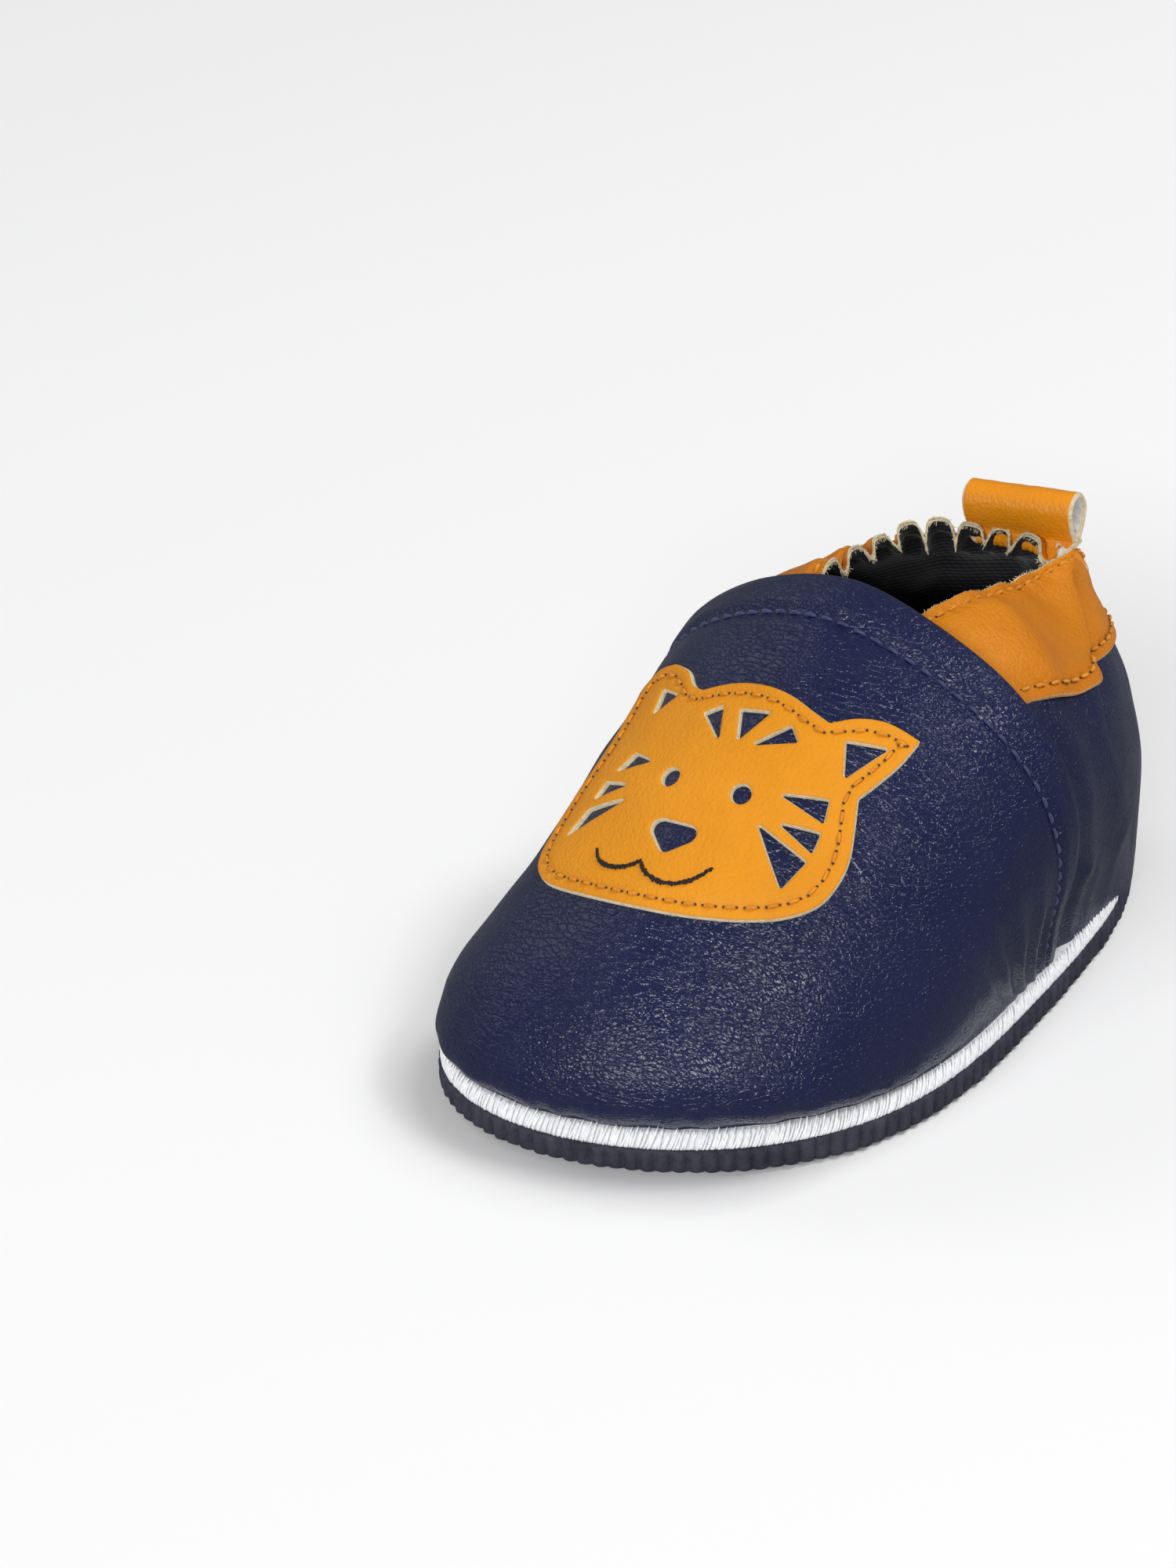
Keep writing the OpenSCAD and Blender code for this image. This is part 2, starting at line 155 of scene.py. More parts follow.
def normals(grid, centre):
    """Unit normals of a grid of points, pointing away from centre."""
    across = np.gradient(grid, axis=1)
    along = np.gradient(grid, axis=0)
    n = np.cross(across, along)
    flat = np.linalg.norm(n, axis=-1) < 1e-9
    n[flat] = (grid - centre)[flat]
    n = unit(n)
    return n*np.where((n*(grid - centre)).sum(-1) < 0, -1, 1)[..., None]


def run_length(points):
    """Length along a line up to each of its points."""
    return np.concatenate([[0], np.cumsum(np.linalg.norm(np.diff(points, axis=0), axis=1))])


def resampled(points, step, closed=False):
    """Points along a line, step apart, ends kept."""
    p = np.asarray(points, float)
    if closed:
        p = np.vstack([p, p[:1]])
    length = run_length(p)
    at = np.linspace(0, length[-1], max(2, int(round(length[-1]/step))) + 1)
    return np.stack([np.interp(at, length, p[:, k]) for k in range(p.shape[1])], 1)


def sampled(grid, across, up):
    """A grid's values between its points. across and up run from 0 to 1."""
    rows, cols = grid.shape[:2]
    x = np.clip(across*(cols - 1), 0, cols - 1.001)
    y = np.clip(up*(rows - 1), 0, rows - 1.001)
    i, j = x.astype(int), y.astype(int)
    fx, fy = (x - i)[..., None], (y - j)[..., None]
    low, high = mix(grid[j, i], grid[j, i + 1], fx), mix(grid[j + 1, i], grid[j + 1, i + 1], fx)
    return mix(low, high, fy)


# ---------------------------------------------------------------- surfaces, the same rules as the CAD
def half_width(u):
    width = mix(BALL_HALF, HEEL_HALF, smooth(u, EASE_FROM, EASE_TO))
    return width*np.sqrt(np.maximum(0, 1 - power(np.abs(u), np.where(u < 0, TOE_POWER, HEEL_POWER))))


def centre_x(u):
    return -TOE_SKEW*np.clip(-u, 0, 1)**2


def outline(angle, off, z):
    """-90 is the toe, 0 the outer side, 90 the heel."""
    u, c = sind(angle), cosd(angle)
    side = np.where(c >= -1e-12, 1, -1)
    x = centre_x(u) + side*(half_width(u) + off*np.abs(c))
    return np.stack([x, (HALF_LEN + off)*u, z + 0*u], -1)


def vamp_point(s, t, d=0.0):
    """s runs across from -1 to 1, t from the toe to the rear edge, d is the depth under the face."""
    s, t, d = np.broadcast_arrays(np.asarray(s, float), np.asarray(t, float), np.asarray(d, float))
    e = 0.001
    slope = unit(bezier(PROFILE, t + e) - bezier(PROFILE, t - e))
    top = bezier(PROFILE, t)
    top_y = top[..., 0] + d*slope[..., 1]
    top_z = top[..., 1] - d*slope[..., 0]*smooth(t, 0, 0.08)
    station = mix(STATION_TOE, STATION_REAR, t)
    over = mix(*OVERHANG, t)*smooth(t, 0, 0.3)
    low = cosd(90 + over)
    across = np.sign(s)*power(sind(np.abs(s)*(90 + over))/cosd(over), mix(*FLANK_POWER, t))
    lift = power((cosd(s*(90 + over)) - low)/(1 - low), mix(*FULLNESS, t))
    cx = centre_x(station)
    ridge = centre_x(top_y/HALF_LEN) + RIDGE_SHIFT[0]*smooth(t, 0, 0.3) + (RIDGE_SHIFT[1] - RIDGE_SHIFT[0])*t
    body = np.stack([cx + (half_width(station) - d)*across + (ridge - cx)*lift,
                     mix(HALF_LEN*station, top_y, power(lift, PLAN_FULLNESS)),
                     mix(FOOT_Z, top_z, lift)], -1)
    return body + power(1 - t, 4)[..., None]*toe_shift(s, d)


def toe_shift(s, d):
    first = math.degrees(math.asin(STATION_TOE))
    angle = mix(-90, first, np.abs(s))
    lift = power(cosd(90*s), FULLNESS[0])
    cx = centre_x(STATION_TOE)
    y0 = -HALF_LEN + d
    width = half_width(np.array(STATION_TOE)) - d
    x = cx + width*sind(90*s) + (centre_x(y0/HALF_LEN) - cx)*lift
    y = mix(HALF_LEN*STATION_TOE, y0, power(lift, PLAN_FULLNESS))
    return outline(np.where(s >= 0, angle, 180 - angle), -d, FOOT_Z) - np.stack([x, y, FOOT_Z + 0*x], -1)


def back_wall(side, around, h, d):
    angle = mix(REAR_ANGLE, 90, around)
    foot = outline(np.where(side > 0, angle, 180 - angle), -d, FOOT_Z)
    out = np.stack([side*cosd(angle), sind(angle), 0*angle], -1)
    heel = smooth(out[..., 1], 0.1, 0.95)[..., None]
    g = sind(90*around)
    rim = np.stack([side*(MOUTH_HALF - d)*np.sqrt(np.maximum(0, 1 - power(g, 3.2))),
                    mix(MOUTH_Y[0], MOUTH_Y[1] - d, g), mix(*RIM_Z, g)], -1)
    inward = (rim - foot)*[1, 1, 0]
    up = np.array([0, 0, 1.0])
    return bezier([foot, foot + (3.5 + 0.5*heel)*out + 12*up, foot + (3 + 1.5*heel)*out + (23 + 8*heel)*up,
                   foot + (0.5 - 0.05*heel)*inward + (42 + heel)*up, rim], h)


def under_vamp(side, h, t, d):
    return vamp_point(side*(1 - (1 - RIM_SHARE)*power(h, 1.3)), t, SIDE_GAP + d)


def back_point(c, h, d=0.0):
    """c runs from -1, the outer side of the vamp's edge, round the heel at 0 to 1; h is the height share."""
    c, h, d = np.broadcast_arrays(np.asarray(c, float), np.asarray(h, float), np.asarray(d, float))
    side = np.where(c < 0, 1, -1)
    around = np.maximum(0, 1 - np.abs(c))
    hidden = np.maximum(0, np.abs(c) - 1)/0.1
    tucked = under_vamp(side, h, 1 - SIDE_TUCK*hidden, d)
    meet = (1 - smooth(around, 0, 0.55))[..., None]
    joined = back_wall(side, around, h, d) + meet*(under_vamp(side, h, 1.0, d) - back_wall(side, 0*around, h, d))
    return np.where((hidden > 0)[..., None], tucked, joined)


def collar_low(c):
    return 0.715 - 0.135*smooth(1 - np.abs(c), 0, 0.9)


def lift_ramp(c):
    return smooth(1 - np.abs(c), 0.02, 0.14)


# ---------------------------------------------------------------- mesh helpers
def put_in_scene(name, data):
    thing = bpy.data.objects.new(name, data)
    bpy.context.scene.collection.objects.link(thing)
    return thing


def mesh_piece(name, points, faces, materials, kinds=None):
    """A smooth mesh from points in millimetres. kinds gives each face's material index."""
    mesh = bpy.data.meshes.new(name)
    mesh.from_pydata(placed(points).tolist(), [], [list(map(int, f)) for f in faces])
    for m in materials:
        mesh.materials.append(m)
    if kinds is not None:
        mesh.polygons.foreach_set("material_index", np.asarray(kinds, np.int32))
    mesh.polygons.foreach_set("use_smooth", np.full(len(mesh.polygons), True))
    mesh.update()
    return put_in_scene(name, mesh)


def fitted(piece, slot, *nodes):
    """Lets a piece ride on the bootie, and hides the CAD nodes that it stands for. slot is not used."""
    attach(piece, "bootie")
    if nodes:
        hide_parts(*nodes)
    return piece


def grid_faces(rows, cols, wrap=False):
    j, i = np.meshgrid(np.arange(rows - 1), np.arange(cols if wrap else cols - 1), indexing="ij")
    k = (i + 1) % cols
    return np.stack([j*cols + i, j*cols + k, (j + 1)*cols + k, (j + 1)*cols + i], -1).reshape(-1, 4)


def strip(a, b):
    """Faces between two closed rings of equally many points."""
    return np.stack([np.roll(a, -1), a, b, np.roll(b, -1)], 1)


def edge_loop(rows, cols):
    return np.concatenate([np.arange(cols), np.arange(1, rows)*cols + cols - 1,
                           (rows - 1)*cols + np.arange(cols - 2, -1, -1), np.arange(rows - 2, 0, -1)*cols])


def sheet_piece(name, outer, inner, materials):
    """A sheet between two grids, with a rounded cut edge.

    Materials: face, cut edge, back, and a lower cut edge if that differs."""
    rows, cols = outer.shape[:2]
    n = rows*cols
    loop = edge_loop(rows, cols)
    inland = np.clip(np.array(np.unravel_index(loop, (rows, cols))).T, 1, [rows - 2, cols - 2])
    o, i = outer.reshape(-1, 3)[loop], inner.reshape(-1, 3)[loop]
    thick = np.linalg.norm(o - i, axis=1, keepdims=True)
    away = unit(o - outer[inland[:, 0], inland[:, 1]])
    rings = [mix(o, i, share) + away*thick*0.5*math.sin(math.pi*share) for share in (0.15, 0.5, 0.85)]
    face = grid_faces(rows, cols)
    faces = [face, face[:, ::-1] + n]
    kinds = [np.zeros(len(face)), np.full(len(face), 2)]
    m = len(loop)
    chain = [loop] + [2*n + k*m + np.arange(m) for k in range(3)] + [loop + n]
    for a, b in zip(chain[:-1], chain[1:]):
        faces.append(strip(a, b))
        kinds.append(np.where(loop < n//2, len(materials) - 1 if len(materials) > 3 else 1, 1))
    points = np.vstack([outer.reshape(-1, 3), inner.reshape(-1, 3)] + rings)
    return mesh_piece(name, points, np.vstack(faces), materials, np.concatenate(kinds))


def around_line(side, rise, count):
    """Directions round each point of a thread's middle line, count of them."""
    angle = np.linspace(0, 2*math.pi, count, endpoint=False)[:, None]
    return np.cos(angle)*side[..., None, :] + np.sin(angle)*rise[..., None, :]


def threads(name, starts, ends, ups, radius, arch, material, steps=7, around=6):
    """Separate stitches: each a thread that rises from one hole and dips into the next."""
    p, q, up = (np.asarray(v, float) for v in (starts, ends, ups))
    u = np.linspace(0, 1, steps)
    line = p[:, None] + (q - p)[:, None]*u[None, :, None]
    line = line + up[:, None]*(arch*4*u*(1 - u))[None, :, None]
    along = unit(q - p)
    side = unit(np.cross(along, up))
    ring = around_line(side[:, None], np.cross(side, along)[:, None], around)
    size = np.broadcast_to(np.asarray(radius, float), (len(p),))[:, None]*np.sqrt(1 - (2*u - 1)**4*0.96)
    points = line[:, :, None] + ring*size[:, :, None, None]
    first = (np.arange(len(p))*steps*around)[:, None]
    body = (grid_faces(steps, around, wrap=True)[None] + first[:, None]).reshape(-1, 4)
    caps = np.stack([first + np.arange(around)[::-1], first + (steps - 1)*around + np.arange(around)], 1)
    return mesh_piece(name, points.reshape(-1, 3), [*body, *caps.reshape(-1, around)], [material])


def stitched(name, line, ups, material, radius, fill, arch, sink, wander):
    """Stitches along a line of points, one per gap, sunk a little into the leather at both ends."""
    rng = np.random.default_rng(len(line))
    p, q, up = line[:-1], mix(line[:-1], line[1:], fill), ups[:-1]
    shift = np.cross(unit(q - p), up)*rng.normal(0, wander, (len(p), 1))
    return threads(name, p - up*sink + shift, q - up*sink - shift, up, radius, arch, material)


def needle_holes(name, points, ups, radius):
    """Small dark dimples where the thread goes through: their dark colour is painted shade of the holes."""
    side = unit(np.cross(ups, [0.3, 0.5, 0.8]))*radius
    return threads(name, points - side, points + side, ups, radius*0.8, 0.0, HOLE_SHADE, steps=5)


def tube(name, line, radius, material, around=8):
    """A round edge along a line, with a radius for each of its points."""
    along = unit(np.gradient(line, axis=0))
    side = unit(np.cross(along, [0.02, 0.01, 1]))
    points = line[:, None] + radius[:, None, None]*around_line(side, np.cross(side, along), around)
    ends = np.arange(around)[::-1], (len(line) - 1)*around + np.arange(around)
    return mesh_piece(name, points.reshape(-1, 3), [*grid_faces(len(line), around, wrap=True), *ends], [material])


# ---------------------------------------------------------------- materials
class Nodes:
    """A short way to write a node tree."""

    def __init__(self, name):
        self.material = bpy.data.materials.new(name)
        self.material.use_nodes = True
        self.tree = self.material.node_tree
        self.shader = self.tree.nodes["Principled BSDF"]
        self.place = self.add("TexCoord").outputs["Object"]

    def add(self, kind, inputs=None, **settings):
        node = self.tree.nodes.new("ShaderNode" + kind)
        for key, value in settings.items():
            setattr(node, key, value)
        for key, value in (inputs or {}).items():
            if isinstance(value, bpy.types.NodeSocket):
                self.tree.links.new(value, node.inputs[key])
            else:
                node.inputs[key].default_value = value
        return node

    def link(self, output, socket):
        self.tree.links.new(output, self.shader.inputs[socket])

    def stretched(self, vector, x, y, z):
        return self.add("Mapping", {"Vector": vector, "Scale": (x, y, z)}).outputs["Vector"]

    def bent(self, amount_mm):
        """Places pushed about by soft noise, so that no pattern runs straight."""
        push = self.add("TexNoise", {"Vector": self.place, "Scale": 110.0, "Detail": 2.0}).outputs["Color"]
        push = self.add("VectorMath", {0: push, 1: (0.5, 0.5, 0.5)}, operation="SUBTRACT").outputs["Vector"]
        push = self.add("VectorMath", {0: push, "Scale": amount_mm*2*MM}, operation="SCALE").outputs["Vector"]
        return self.add("VectorMath", {0: self.place, 1: push}).outputs["Vector"]

    def noise(self, scale, detail=3.0, roughness=0.5):
        inputs = {"Vector": self.place, "Scale": scale, "Detail": detail, "Roughness": roughness}
        return self.add("TexNoise", inputs).outputs["Fac"]

    def cells(self, scale, feature="F1", vector=None):
        inputs = {"Vector": vector or self.place, "Scale": scale}
        return self.add("TexVoronoi", inputs, feature=feature).outputs["Distance"]

    def waves(self, scale, direction, distortion):
        inputs = {"Vector": self.place, "Scale": scale, "Distortion": distortion}
        return self.add("TexWave", inputs, wave_type="BANDS", bands_direction=direction).outputs["Fac"]

    def ramp(self, value, low, high, to_low=0.0, to_high=1.0):
        inputs = {"Value": value, "From Min": low, "From Max": high, "To Min": to_low, "To Max": to_high}
        return self.add("MapRange", inputs).outputs["Result"]

    def colour(self, value, first, second, low=0.3, high=0.7):
        """Base colour that wanders between two as value goes from low to high."""
        node = self.add("Mix", {"Factor": self.ramp(value, low, high)}, data_type="RGBA")
        node.inputs["A"].default_value = (*first, 1)
        node.inputs["B"].default_value = (*second, 1)
        self.link(node.outputs["Result"], "Base Color")

    def bump(self, height, distance, strength, below=None):
        inputs = {"Height": height, "Distance": distance, "Strength": strength}
        if below is not None:
            inputs["Normal"] = below
        return self.add("Bump", inputs).outputs["Normal"]

    def set(self, **values):
        for key, value in values.items():
            self.shader.inputs[key.replace("_", " ")].default_value = value


def grained_leather(name, dark, light, rough, grain_mm, crease, gloss, depth):
    """Coated leather: pebbled grain, fine creases, and gloss that varies over the skin."""
    n = Nodes(name)
    n.colour(n.noise(45, 4, 0.55), dark, light)
    n.link(n.ramp(n.noise(160, 4, 0.6), 0.3, 0.7, rough - 0.06, rough + 0.07), "Roughness")
    bent = n.bent(1.5)
    pebbles = n.ramp(n.cells(1000/grain_mm, "F1", bent), 0.0, 1.0, 1.0, 0.0)
    pores = n.cells(1900/grain_mm, "SMOOTH_F1", bent)
    creases = n.cells(1350, "DISTANCE_TO_EDGE", n.stretched(bent, 0.25, 0.8, 1.0))
    under = n.bump(n.noise(260, 5, 0.6), 0.0003, 0.07)
    under = n.bump(n.ramp(creases, 0.0, 0.13), 0.00008, crease, under)
    under = n.bump(pebbles, 0.0002, depth, under)
    under = n.bump(pores, 0.00008, 0.5, under)
    n.link(n.bump(n.noise(900, 3, 0.6), 0.00006, 0.3, under), "Normal")
    n.set(Specular_IOR_Level=gloss)
    return n.material


def woven_cloth(name, dark, light, thread_mm=0.45, rough=0.9, fuzz=0.4):
    """Two sets of threads that cross, and a little fuzz."""
    n = Nodes(name)
    n.colour(n.noise(400, 4, 0.7), dark, light)
    under = n.bump(n.waves(160/thread_mm, "DIAGONAL", 2.0), 0.0001, 0.5)
    under = n.bump(n.waves(160/thread_mm, "Z", 2.0), 0.0001, 0.5, under)
    n.link(n.bump(n.noise(1800, 3, 0.7), 0.0002, 0.5, under), "Normal")
    n.set(Roughness=rough, Sheen_Weight=fuzz, Sheen_Roughness=0.5, Specular_IOR_Level=0.2)
    return n.material


def thread_material(name, dark, light, rough, sheen):
    """Twisted thread: plies run round it as fine slanted ridges."""
    n = Nodes(name)
    n.colour(n.noise(700, 3, 0.6), dark, light)
    fuzz = n.bump(n.noise(3000, 2, 0.6), 0.0001, 0.4)
    n.link(n.bump(n.waves(420.0, "DIAGONAL", 1.0), 0.00012, 0.6, fuzz), "Normal")
    n.set(Roughness=rough, Sheen_Weight=sheen, Specular_IOR_Level=0.4)
    return n.material


def fibre_edge(name, dark, light):
    """Matt fibres: the backing of coated leather where it is cut. In a dark colour it also paints the shade inside
    needle holes.
    """
    n = Nodes(name)
    n.colour(n.noise(1500, 4, 0.7), dark, light)
    n.link(n.bump(n.noise(2500, 4, 0.8), 0.0003, 0.8), "Normal")
    n.set(Roughness=0.95, Sheen_Weight=0.3, Specular_IOR_Level=0.15)
    return n.material


def rubber(name, dark, light):
    n = Nodes(name)
    n.colour(n.noise(300, 5, 0.65), dark, light, 0.35)
    n.link(n.ramp(n.noise(500, 4, 0.6), 0.3, 0.7, 0.62, 0.85), "Roughness")
    under = n.bump(n.noise(900, 5, 0.7), 0.0004, 0.6)
    n.link(n.bump(n.cells(1500), 0.0002, 0.5, under), "Normal")
    n.set(Specular_IOR_Level=0.35)
    return n.material


def plain_floor():
    n = Nodes("studio_floor")
    n.colour(n.noise(3, 2), (0.86, 0.86, 0.865), (0.875, 0.875, 0.875), 0.0, 1.0)
    n.set(Roughness=0.9, Specular_IOR_Level=0.1)
    return n.material


# Leather: dark and light colour, roughness, grain in mm, then strength of creases, gloss and grain
NAVY = grained_leather("navy_leather", (0.0050, 0.0085, 0.042), (0.0075, 0.0115, 0.053), 0.26, 0.5, 0.8, 0.47, 0.48)
MUSTARD = grained_leather("mustard_leather", (0.50, 0.150, 0.003), (0.61, 0.205, 0.005), 0.44, 0.6, 0.3, 0.28, 0.6)
PATCH = grained_leather("patch_leather", (0.64, 0.235, 0.006), (0.72, 0.275, 0.010), 0.55, 0.6, 0.12, 0.25, 0.6)
# Painted light: the strap is the same mustard leather as the collar, coloured lighter to brighten the loop's front
# face, which the lamps light less
STRAP = grained_leather("strap_leather_painted_lighter", (0.66, 0.215, 0.004), (0.78, 0.275, 0.007), 0.44, 0.6, 0.25, 0.35, 0.5)
# Cut edges and cloth: dark and light colour; then thread in mm, roughness and fuzz
CREAM = fibre_edge("leather_backing", (0.50, 0.40, 0.22), (0.78, 0.70, 0.50))
TAN_EDGE = fibre_edge("mustard_cut_edge", (0.40, 0.17, 0.02), (0.55, 0.27, 0.06))
NAVY_EDGE = fibre_edge("navy_backing", (0.012, 0.014, 0.030), (0.03, 0.035, 0.06))
LINING = woven_cloth("lining_cloth", (0.003, 0.0034, 0.006), (0.008, 0.009, 0.014), 0.45, 0.95, 0.12)
SOCK = woven_cloth("sock_cloth", (0.006, 0.007, 0.012), (0.014, 0.015, 0.024), 0.7)
FOAM = fibre_edge("insole_foam_skin", (0.70, 0.64, 0.50), (0.84, 0.78, 0.64))
ELASTIC = woven_cloth("woven_elastic", (0.70, 0.70, 0.68), (0.85, 0.85, 0.82), 0.8)
STRAP_BACK = woven_cloth("strap_backing", (0.62, 0.60, 0.58), (0.80, 0.78, 0.76), 0.5, 0.9, 0.2)
RUBBER = rubber("outsole_rubber", (0.022, 0.024, 0.040), (0.050, 0.052, 0.075))
WELT = woven_cloth("welt_cloth", (0.74, 0.75, 0.78), (0.86, 0.87, 0.90), 0.5, 0.8, 0.2)
# Thread: dark and light colour, roughness, sheen
WHITE_THREAD = thread_material("white_thread", (0.84, 0.85, 0.88), (0.93, 0.94, 0.96), 0.5, 0.3)
MUSTARD_THREAD = thread_material("mustard_thread", (0.48, 0.17, 0.010), (0.70, 0.29, 0.02), 0.6, 0.04)
PATCH_THREAD = thread_material("patch_thread", (0.55, 0.19, 0.006), (0.74, 0.29, 0.012), 0.6, 0.03)
NAVY_THREAD = thread_material("navy_thread", (0.02, 0.028, 0.09), (0.04, 0.05, 0.14), 0.5, 0.15)
BROWN_THREAD = thread_material("brown_thread", (0.007, 0.004, 0.004), (0.022, 0.011, 0.009), 0.6, 0.04)
# Painted shade: the dark colour of the needle holes stands in for the shade inside them
HOLE_SHADE = fibre_edge("needle_hole", (0.05, 0.022, 0.006), (0.10, 0.045, 0.012))


# ---------------------------------------------------------------- sole and welt
SOLE_POINTS, SOLE_INNER, TOE_SPRING = 1500, 6, 0.35
SCALLOPS, SCALLOP_DEPTH = 138, 0.78
# The edge from below upwards: height, place outside the outline, and how strongly the scallops show
SOLE_EDGE = [(0.0, -1.4, 0.0), (0.1, -0.5, 0.3), (0.35, 0.3, 0.7), (0.8, 0.70, 1.0), (1.8, 0.80, 1.1), (2.8, 0.90, 1.0),
             (3.7, 1.00, 0.8), (4.3, 1.02, 0.5), (4.6, 0.85, 0.3), (4.5, 0.40, 0.1), (SOLE_TOP, 0.15, 0.0)]
GROOVE_W, GROOVE_DEPTH, GROOVE_PITCH, GROOVE_MARGIN = 1.8, 0.8, 11.0, 7.0
WELT_POINTS, OVERLOCK_PITCH = 720, 0.40


def build_outsole():
    """Rubber sole with a finely scalloped, ribbed edge and cross grooves under it."""
    angle = np.linspace(0, 360, SOLE_POINTS, endpoint=False)
    line = outline(angle, 0, 0)
    away = unit(outline(angle, 1, 0) - line)
    run = run_length(line)
    wave = np.abs(np.sin(run/run[-1]*SCALLOPS*math.pi))**0.7
    rough = noise(line, 2.2, 3)
    spring = TOE_SPRING*smooth(-line[:, 1], 28, 60)
    rings = []
    for z, off, share in SOLE_EDGE:
        uneven = noise(line + [0, 0, 9*z], 1.3, 5)
        out = off + share*(SCALLOP_DEPTH*(wave - 0.6) + 0.18*rough + 0.10*uneven)
        lift = z + spring*max(0.0, 1 - z/2.7)
        rings.append(line + away*out[:, None] + lift[:, None]*[0, 0, 1.0])
    rings += [outline(angle, -SOLE_INNER, SOLE_TOP), outline(angle, -SOLE_INNER, 0)]
    foot = np.arange(SOLE_POINTS)
    top = foot + (len(rings) - 2)*SOLE_POINTS
    faces = [*grid_faces(len(rings) - 1, SOLE_POINTS, wrap=True), *strip(foot, top + SOLE_POINTS), top]
    groove_points, under = sole_underside(rings[-1][:, :2], (len(rings) - 1)*SOLE_POINTS)
    sole = mesh_piece("outsole_body", np.vstack(rings + [groove_points]), faces + under, [RUBBER])
    for polygon in sole.data.polygons[len(faces):]:
        polygon.use_smooth = False
    fitted(sole, "outsole_rubber", "outsole")


def groove_outline(y0):
    """One straight cross groove seen from above, anticlockwise, as long as the sole's margin lets it be."""
    y = np.linspace(y0, y0 + GROOVE_W, 7)
    u = y/(HALF_LEN - GROOVE_MARGIN)
    half = half_width(u) - GROOVE_MARGIN*np.sqrt(1 - u*u)
    right, left = centre_x(u) + half, centre_x(u) - half
    return np.vstack([np.stack([right, y], 1), np.stack([left, y], 1)[::-1]])


def sole_underside(rim, first):
    """The flat underside between its rim and the grooves, then the grooves' walls and floors."""
    grooves = [groove_outline(k*GROOVE_PITCH) for k in range(-5, 5)]
    verts, faces = triangulated([rim] + grooves)
    under = [list(f[::-1] + first) for f in faces[clear_of(verts[faces].mean(1), rim, grooves)]]
    flat = np.vstack(grooves)
    points = np.vstack([np.c_[flat, 0*flat[:, :1]], np.c_[flat, 0*flat[:, :1] + GROOVE_DEPTH]])
    start = first + len(rim)
    for groove in grooves:
        low = start + np.arange(len(groove))
        under += [*strip(low, low + len(flat)), (low + len(flat))[::-1]]
        start += len(groove)
    return points, under


def build_welt():
    """White band, with a rounded face, between the sole and the leather."""
    angle = np.linspace(0, 360, WELT_POINTS, endpoint=False)
    low, high = SOLE_TOP - 0.05, WELT_TOP
    section = [(0, -3.2), (0, 0.15), (0.25, 0.42), (0.6, 0.45), (0.9, 0.2), (1, -0.15), (1, -3.2)]
    grid = np.array([outline(angle, off, mix(low, high, share)) for share, off in section])
    first = np.arange(WELT_POINTS)
    faces = [*grid_faces(len(section), WELT_POINTS, wrap=True), *strip(first, first + (len(section) - 1)*WELT_POINTS)]
    fitted(mesh_piece("welt_band_body", grid.reshape(-1, 3), faces, [WELT]), "welt_fabric", "welt_band")


def build_overlock():
    """Dense slanted threads over the band. Every third one climbs over the leather's edge."""
    turn = np.linspace(0, 360, 2000, endpoint=False)
    run = run_length(outline(turn, 0, 0))
    number = int(run[-1]/OVERLOCK_PITCH)
    rng = np.random.default_rng(11)
    at = (np.arange(number) + rng.normal(0, 0.25, number))/number*run[-1]
    lean = 1.1 + rng.normal(0, 0.22, number)
    low_angle, high_angle = np.interp(at, run, turn), np.interp(at + lean, run, turn)
    spike = np.where(np.arange(number) % 3 == 0, 0.6, 0.0)*(0.4 + 0.6*rng.random(number))
    starts = outline(low_angle, 0.30 + rng.uniform(0, 0.14), 0)
    starts[:, 2] = SOLE_TOP + 0.30 + rng.normal(0, 0.07, number)
    ends = outline(high_angle, -0.02, 0)
    ends[:, 2] = FOOT_Z + 0.10 + spike + rng.normal(0, 0.06, number)
    ups = unit(outline(low_angle, 1, 0) - outline(low_angle, 0, 0))
    size = rng.uniform(0.17, 0.26, number)
    stitches = threads("welt_overlock_threads", starts, ends, ups, radius=size, arch=0.50, material=WHITE_THREAD,
                       around=5)
    fitted(stitches, "welt_thread", "welt_stitching")


# ---------------------------------------------------------------- insole
INSOLE_POINTS, INSOLE_IN = 240, 4.0


def build_insole():
    """Foam insole with a cloth cover that is slightly dished where the foot lies."""
    low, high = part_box("insole_foam")[0].z/MM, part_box("insole_sock")[1].z/MM
    angle = np.linspace(0, 360, INSOLE_POINTS, endpoint=False)
    rim = outline(angle, -INSOLE_IN, 0)
    rings = []
    for share in np.arange(25)/24:
        ring = mix(np.array([0, 2.0, 0]), rim, share)
        dish = -0.5*(1 - smooth(share, 0.3, 0.95)) + 0.25*smooth(share, 0.7, 0.95)
        ring[:, 2] = high - 0.25 + dish + 0.08*noise(ring, 5, 2)
        rings.append(ring)
    rings += [outline(angle, 0.25 - INSOLE_IN, high - 0.6), outline(angle, 0.2 - INSOLE_IN, low)]
    faces = grid_faces(len(rings), INSOLE_POINTS, wrap=True)[:, ::-1]
    bottom = (len(rings) - 1)*INSOLE_POINTS + np.arange(INSOLE_POINTS)
    cover = mesh_piece("insole_cover", np.vstack(rings), [*faces, bottom], [SOCK])
    fitted(cover, "lining_fabric", "insole_sock")
    foam = frame["nodes"]["insole_foam"].data
    foam.materials.clear()
    foam.materials.append(FOAM)


# ---------------------------------------------------------------- vamp
THROAT_STITCH_T = 0.945
PROFILE_LENGTH = 104.0
VAMP_LINING_DEPTH = 1.15


